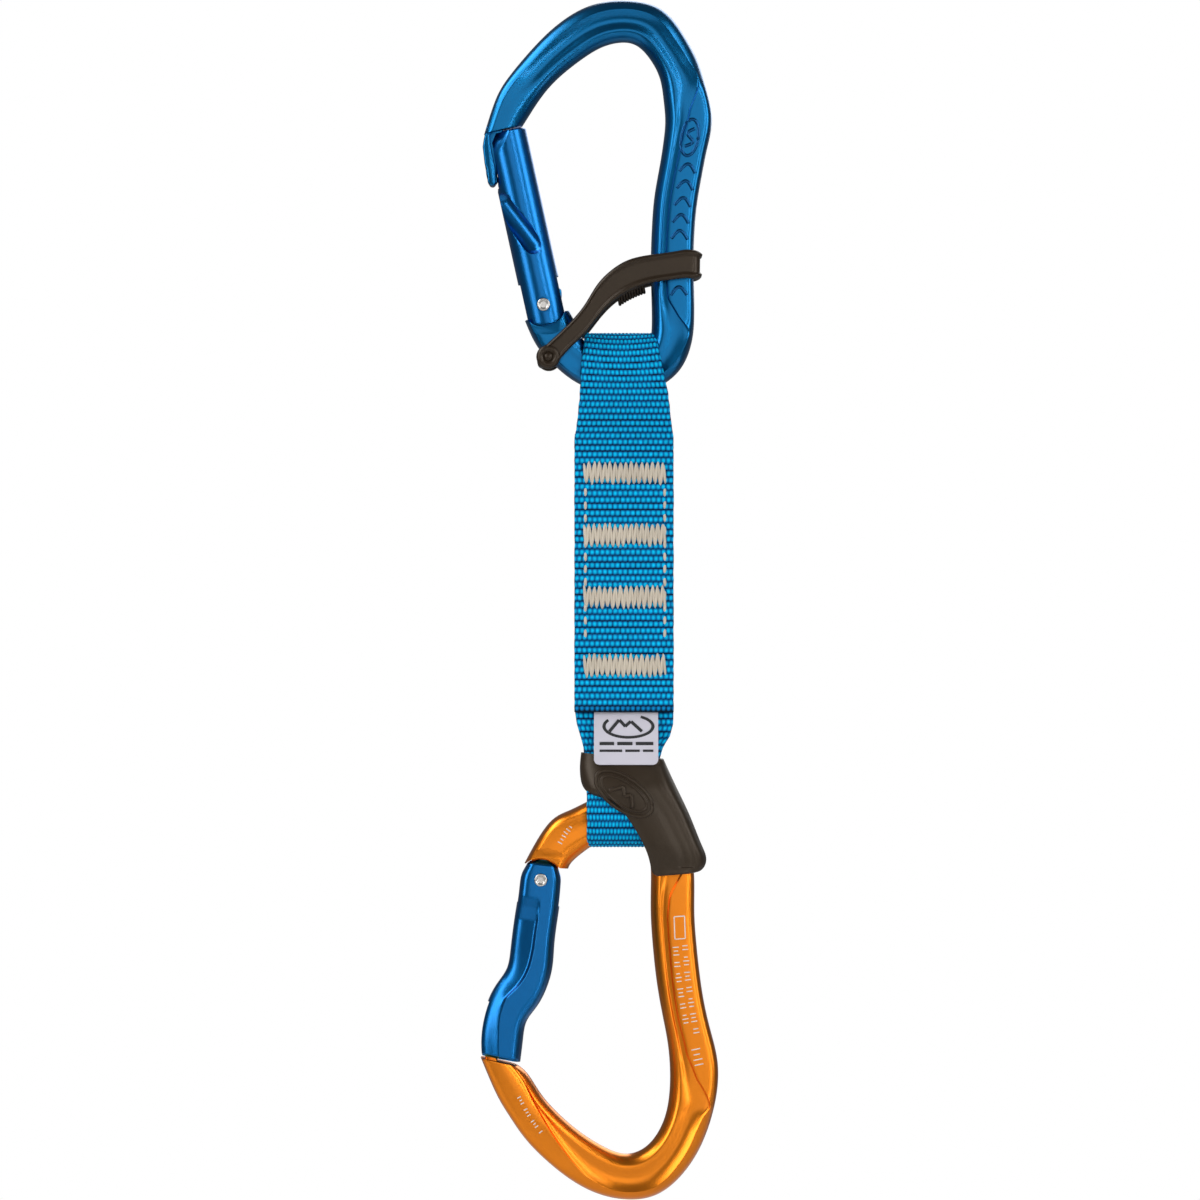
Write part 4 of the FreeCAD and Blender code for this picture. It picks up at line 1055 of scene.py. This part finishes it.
class Face:
    """The front surface of a piece, to lay marks on."""

    def __init__(self, obj):
        mesh = obj.data
        self.tree = BVHTree.FromPolygons([v.co for v in mesh.vertices],
                                         [p.vertices for p in mesh.polygons])

    def level(self, x, z):
        """The y of the front at (x, z), or None beside the piece."""
        hit = self.tree.ray_cast(Vector((x * MM, -0.03, z * MM)), Vector((0, 1, 0)))[0]
        return hit[1] / MM if hit is not None else None


def raised_marks(name, places, face, radius, rise):
    """Low raised lines on the front of a frame; places are lists of (x, z) points."""
    paths = []
    for line in places:
        points = [(x, face.level(x, z), z) for x, z in line]
        if all(p[1] is not None for p in points):
            paths.append((points, [(radius, rise)] * len(points)))
    return strands(name, paths)


def oval(x, z, long_half, short_half, lean):
    """A ring about (x, z), its long way leaning by lean from the vertical."""
    ring = []
    for t in np.linspace(0, 2 * math.pi, 60):
        along, across = long_half * math.sin(t), short_half * math.cos(t)
        ring.append((x + along * math.sin(lean) + across * math.cos(lean),
                     z + along * math.cos(lean) - across * math.sin(lean)))
    return ring


def zigzag(x, z, lean, corners):
    """A line through corners (across, along) about (x, z), leaning by lean from the vertical."""
    across = np.array([math.cos(lean), -math.sin(lean)])
    along = np.array([math.sin(lean), math.cos(lean)])
    turned = [np.array([x, z]) + a * across + b * along for a, b in corners]
    return [tuple(p) for p in through(turned, 6 * len(turned))]


def strokes(guide, pitch, pattern):
    """Short strokes across a guide line; a zero in the pattern is a gap."""
    run = lengths(guide)
    lines = []
    for k, at in enumerate(np.arange(0, run[-1], pitch)):
        half = pattern[k % len(pattern)] / 2
        if half == 0:
            continue
        knots = np.array(guide, float)
        here, ahead, behind = (np.array([np.interp(place, run, knots[:, i]) for i in range(2)])
                               for place in (at, at + 0.1, at - 0.1))
        way = (ahead - behind) / np.linalg.norm(ahead - behind)
        side = np.array([-way[1], way[0]])
        lines.append([tuple(here + side * half * t) for t in np.linspace(-1, 1, 5)])
    return lines


UPPER_LEAN = math.radians(10)
UPPER_MARK_PLACES = ((16.6, -32.0, 9), (16.0, -36.2, 8), (15.4, -40.4, 7), (14.9, -44.6, 5),
                     (14.6, -48.6, 3), (14.4, -62.6, 0))
SKYLINE = [(-0.9, -2.4), (0.9, -0.8), (-0.7, 0.8), (0.9, 2.4)]
spine_marks = [oval(17.1, -24.3, 4.6, 2.1, UPPER_LEAN), zigzag(17.1, -24.3, UPPER_LEAN, SKYLINE)]
for x, z, turn in UPPER_MARK_PLACES:
    spine_marks.append(zigzag(x, z, math.radians(turn), [(-2.0, -1.0), (0, 1.1), (2.0, -1.0)]))
upper_face = Face(upper_frame)
upper_marks = raised_marks("upper_spine_marks", spine_marks, upper_face, 0.42, 0.2)

LASER_PATTERN = (1.5, 1.1, 1.5, 0, 1.3, 1.5, 0, 0.9, 1.5, 1.2, 0)
BOX = [(13.2, -218.4), (15.8, -218.2), (16.0, -223.8), (13.4, -224.0), (13.2, -218.4)]
laser_marks = sides_of(BOX, 9)
for guide, pitch, pattern in (
        ([(13.6, -226.0), (14.1, -232.0), (15.1, -239.0), (16.4, -246.0)], 0.95, LASER_PATTERN),
        ([(15.9, -225.6), (16.5, -233.0), (17.6, -241.0), (19.1, -249.0)], 0.95,
         LASER_PATTERN[4:] + LASER_PATTERN[:4]),
        ([(18.6, -251.4), (19.6, -256.0)], 1.3, (2.2, 1.6, 2.2)),
        ([(-15.2, -200.0), (-13.8, -197.6), (-12.2, -195.6)], 0.95, (1.2, 0.8, 1.2, 1.2)),
        ([(-25.4, -263.4), (-22.6, -268.6), (-19.6, -272.6)], 0.85, (1.0, 0.7, 1.0, 0))):
    laser_marks += strokes(guide, pitch, pattern)
lower_face = Face(lower_frame)
lower_marks = raised_marks("lower_laser_marks", laser_marks, lower_face, 0.13, 0.06)


# ---------------------------------------------------------------- camera and light

LENS = 150
SENSOR = 36
SEEN_WIDTH = 0.300   # of the picture, in metres, at the pieces

camera_data = bpy.data.cameras.new("camera")
camera_data.lens = LENS
camera_data.sensor_width = SENSOR
camera_data.clip_end = 20
camera = bpy.data.objects.new("camera", camera_data)
bpy.context.scene.collection.objects.link(camera)
camera.location = (-0.00525, -SEEN_WIDTH * LENS / SENSOR, -0.1395)
camera.rotation_euler = (math.pi / 2, 0, 0)
bpy.context.scene.camera = camera
bpy.context.scene.view_settings.view_transform = "Standard"


def softbox(name, place, aim, width, height, power):
    """Soft rectangular lamp, not seen by the camera."""
    data = bpy.data.lights.new(name, "AREA")
    data.shape = "RECTANGLE"
    data.size = width
    data.size_y = height
    data.energy = power
    lamp = bpy.data.objects.new(name, data)
    lamp.location = place
    lamp.rotation_euler = (Vector(aim) - Vector(place)).to_track_quat("-Z", "Y").to_euler()
    lamp.visible_camera = False
    bpy.context.scene.collection.objects.link(lamp)


AIM = (0, 0, -0.14)
softbox("left_panel", (-0.95, -0.75, 0.25), AIM, 0.5, 1.1, 7)
softbox("right_panel", (0.95, -0.55, 0.25), AIM, 0.4, 1.0, 5)
softbox("front_strip", (0.55, -1.05, 0.0), AIM, 0.13, 1.2, 3)
softbox("front_panel", (0.1, -2.0, 0.1), AIM, 1.0, 1.2, 4)
softbox("top_left", (-0.75, -0.10, 0.62), (0, 0, -0.05), 0.5, 0.5, 4)
softbox("low_right", (0.75, -0.15, -0.85), (0, 0, -0.15), 0.5, 0.5, 3)
softbox("low_front", (-0.35, -0.75, -1.0), AIM, 0.45, 0.3, 2.5)
softbox("back_panel", (0.3, 1.0, 0.4), AIM, 0.8, 0.8, 4)

def add_node(tree, kind, settings=(), sources=()):
    """New shader node: settings are (socket, value), sources (socket, output of another node)."""
    node = tree.nodes.new("ShaderNode" + kind)
    for socket, value in settings:
        node.inputs[socket].default_value = value
    for socket, output in sources:
        tree.links.new(output, node.inputs[socket])
    return node


# The camera sees plain white; the pieces are lit by a dim room
world = bpy.data.worlds.new("studio")
world.use_nodes = True
bpy.context.scene.world = world
sky = world.node_tree
sky.nodes.clear()
seen = add_node(sky, "Background", [("Color", (1, 1, 1, 1)), ("Strength", 1.0)])
room = add_node(sky, "Background", [("Color", (0.93, 0.96, 1.0, 1)), ("Strength", 0.14)])
ray = add_node(sky, "LightPath")
mixed = add_node(sky, "MixShader", sources=[
    (0, ray.outputs["Is Camera Ray"]), (1, room.outputs[0]), (2, seen.outputs[0])])
add_node(sky, "OutputWorld", sources=[("Surface", mixed.outputs[0])])


# ---------------------------------------------------------------- materials

def shader(name, colour, metallic=0.0, roughness=0.5, coat=0.0, sheen=0.0):
    material = bpy.data.materials.new(name)
    material.use_nodes = True
    bsdf = material.node_tree.nodes["Principled BSDF"]
    bsdf.inputs["Base Color"].default_value = (*colour, 1)
    bsdf.inputs["Metallic"].default_value = metallic
    bsdf.inputs["Roughness"].default_value = roughness
    bsdf.inputs["Coat Weight"].default_value = coat
    bsdf.inputs["Coat Roughness"].default_value = 0.22
    bsdf.inputs["Sheen Weight"].default_value = sheen
    return material, bsdf


def grain(material, bsdf, scale, depth, mottle, colour, rough):
    """Fine surface grain, slow colour change and uneven gloss, all from the object's own place."""
    tree = material.node_tree
    place = add_node(tree, "TexCoord").outputs["Object"]
    fine = add_node(tree, "TexNoise", [("Scale", scale), ("Detail", 4)], [("Vector", place)])
    slow = add_node(tree, "TexNoise", [("Scale", 90), ("Detail", 3)], [("Vector", place)])
    bump = add_node(tree, "Bump", [("Strength", 1.0), ("Distance", depth)],
                    [("Height", fine.outputs["Fac"])])
    tree.links.new(bump.outputs["Normal"], bsdf.inputs["Normal"])
    tint = tree.nodes.new("ShaderNodeMix")
    tint.data_type = "RGBA"
    tint.inputs["A"].default_value = (*[c * (1 - mottle) for c in colour], 1)
    tint.inputs["B"].default_value = (*[min(1, c * (1 + mottle)) for c in colour], 1)
    tree.links.new(slow.outputs["Fac"], tint.inputs["Factor"])
    tree.links.new(tint.outputs["Result"], bsdf.inputs["Base Color"])
    gloss = add_node(tree, "MapRange", [("To Min", rough[0]), ("To Max", rough[1])],
                     [("Value", fine.outputs["Fac"])])
    tree.links.new(gloss.outputs["Result"], bsdf.inputs["Roughness"])


def anodised(name, colour):
    """Satin anodised aluminium."""
    material, bsdf = shader(name, colour, metallic=1.0, coat=0.25)
    grain(material, bsdf, 5200, 0.000012, 0.08, colour, (0.25, 0.34))
    return material


BLUE_FRAME = anodised("anodised_blue_frame", (0.001, 0.145, 0.36))
# Darker copy of the frame's blue for the raised spine marks, which are the same anodised metal:
# painted shade.
BLUE_MARK_PAINTED_SHADE = anodised("anodised_blue_mark_painted_shade", (0.001, 0.075, 0.22))
BLUE_GATE = anodised("anodised_blue_gate", (0.002, 0.14, 0.40))
ORANGE = anodised("anodised_orange", (0.90, 0.25, 0.010))


def dress(obj, material, body=None):
    """Gives a piece its material, and the body it rides on if one is given."""
    obj.data.materials.clear()
    obj.data.materials.append(material)
    if body:
        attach(obj, body)


def woven(name, bright, dark):
    """Webbing with patchy tone and fine fibres; painted shade in its hollows, painted highlights on
    its beads.
    """
    material, bsdf = shader(name, bright, roughness=0.8)
    bsdf.inputs["Specular IOR Level"].default_value = 0.12
    tree = material.node_tree
    painted_weave_light_and_seal = add_node(tree, "Attribute")
    painted_weave_light_and_seal.attribute_name = "painted_weave_light_and_seal"
    ramp = add_node(tree, "ValToRGB", sources=[("Fac", painted_weave_light_and_seal.outputs["Fac"])])
    # Near black between the beads is painted shade; the bright top of the ramp is a painted highlight
    # on the beads.
    ramp.color_ramp.elements[0].position = 0.26
    ramp.color_ramp.elements[0].color = (*[c * 0.06 for c in dark], 1)
    ramp.color_ramp.elements[1].position = 0.96
    ramp.color_ramp.elements[1].color = (*bright, 1)
    ramp.color_ramp.elements.new(0.64).color = (*dark, 1)
    place = add_node(tree, "TexCoord").outputs["Object"]
    patchy = add_node(tree, "TexNoise", [("Scale", 700), ("Detail", 3)], [("Vector", place)])
    spread = add_node(tree, "MapRange", [("To Min", 0.72), ("To Max", 1.28)],
                      [("Value", patchy.outputs["Fac"])])
    tone = add_node(tree, "HueSaturation", sources=[
        ("Color", ramp.outputs["Color"]), ("Value", spread.outputs["Result"])])
    tree.links.new(tone.outputs["Color"], bsdf.inputs["Base Color"])
    stretched = add_node(tree, "Mapping", [("Scale", (9000, 9000, 2200))], [("Vector", place)])
    fibre = add_node(tree, "TexNoise", [("Scale", 1), ("Detail", 2)],
                     [("Vector", stretched.outputs["Vector"])])
    bump = add_node(tree, "Bump", [("Distance", 0.00008)], [("Height", fibre.outputs["Fac"])])
    tree.links.new(bump.outputs["Normal"], bsdf.inputs["Normal"])
    return material


def plain(name, colour, roughness, scale, depth, mottle, metallic=0.0, sheen=0.0):
    """One colour with a grain of its own."""
    material, bsdf = shader(name, colour, metallic=metallic, roughness=roughness, sheen=sheen)
    grain(material, bsdf, scale, depth, mottle, colour, (roughness - 0.06, roughness + 0.08))
    return material


WEBBING = woven("webbing_blue", (0.0, 0.58, 0.93), (0.0, 0.19, 0.50))
THREAD = plain("thread_beige", (0.60, 0.53, 0.43), 0.6, 2600, 0.00006, 0.2, sheen=0.3)
STEEL = plain("rivet_steel", (0.62, 0.60, 0.57), 0.28, 2500, 0.00001, 0.06, metallic=1.0)
WIRE = plain("spring_steel", (0.5, 0.5, 0.5), 0.3, 2500, 0.00001, 0.05, metallic=1.0)
PIN = plain("plunger_steel", (0.55, 0.55, 0.55), 0.25, 2500, 0.00001, 0.05, metallic=1.0)
STRAP_RUBBER = plain("strap_rubber", (0.022, 0.014, 0.008), 0.32, 1400, 0.00002, 0.25)
KEEPER_RUBBER = plain("keeper_rubber", (0.026, 0.017, 0.010), 0.38, 1100, 0.00003, 0.25)
for rubber in (STRAP_RUBBER, KEEPER_RUBBER):
    bsdf = rubber.node_tree.nodes["Principled BSDF"]
    bsdf.inputs["Specular IOR Level"].default_value = 0.4
    bsdf.inputs["Specular Tint"].default_value = (1.0, 0.86, 0.72, 1)
LABEL_CLOTH = plain("label_cloth", (0.58, 0.56, 0.63), 0.7, 3000, 0.00003, 0.08, sheen=0.2)
LABEL_INK = plain("label_ink", (0.012, 0.012, 0.014), 0.6, 3000, 0.00003, 0.2)
LASER = plain("laser_mark", (0.75, 0.72, 0.66), 0.6, 3000, 0.00001, 0.05)

for piece, material, slot, body in (
        (upper_frame, BLUE_FRAME, "anodised_blue_frame", "upper_carabiner"),
        # The spine marks take the darker blue as painted shade.
        (upper_marks, BLUE_MARK_PAINTED_SHADE, "anodised_blue_frame", "upper_carabiner"),
        (lower_marks, LASER, "anodised_orange", "lower_carabiner"),
        (lower_frame, ORANGE, "anodised_orange", "lower_carabiner"),
        (upper_gate, BLUE_GATE, "anodised_blue_gate", "upper_gate"),
        (lower_gate, BLUE_GATE, "anodised_blue_gate", "lower_gate"),
        (upper_rivet, STEEL, "rivet_steel", "upper_gate"),
        (lower_rivet, STEEL, "rivet_steel", "lower_gate"),
        (upper_spring, WIRE, "spring_steel", "upper_gate"),
        (lower_spring, WIRE, "spring_steel", "lower_gate")):
    dress(piece, material, body)
for spring, axes, joint in ((upper_spring, UPPER, "upper_gate_hinge"),
                            (lower_spring, LOWER_BORE, "lower_gate_hinge")):
    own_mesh(spring)
for node in ("upper_gate_plunger", "lower_gate_plunger"):
    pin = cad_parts[node]
    pin.data.materials.clear()
    pin.data.materials.append(PIN)
dress(sling_upper, WEBBING)
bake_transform(sling_upper)
for piece, material, slot in ((sling_lower, WEBBING, "webbing_blue"),
                              (label_tag, LABEL_CLOTH, "label_cloth"),
                              (label_mark, LABEL_INK, "label_cloth")):
    dress(piece, material)
    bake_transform(piece)
dress(positioner_strap, STRAP_RUBBER, "upper_carabiner")
dress(keeper_sleeve, KEEPER_RUBBER, "lower_carabiner")
for thread in tacks + stitches:
    dress(thread, THREAD, "sling")


# ---------------------------------------------------------------- floor and finish

FLOOR_RADIUS = 420
floor_rings = [[(FLOOR_RADIUS * math.cos(t), FLOOR_RADIUS * math.sin(t) - 100, z)
                for t in full_turn(64)] for z in (-362, -360)]
floor = skin("floor", np.array(floor_rings))
floor_material, floor_bsdf = shader("floor", (0.86, 0.86, 0.86), roughness=0.7)
floor.data.materials.append(floor_material)

bpy.context.view_layer.update()
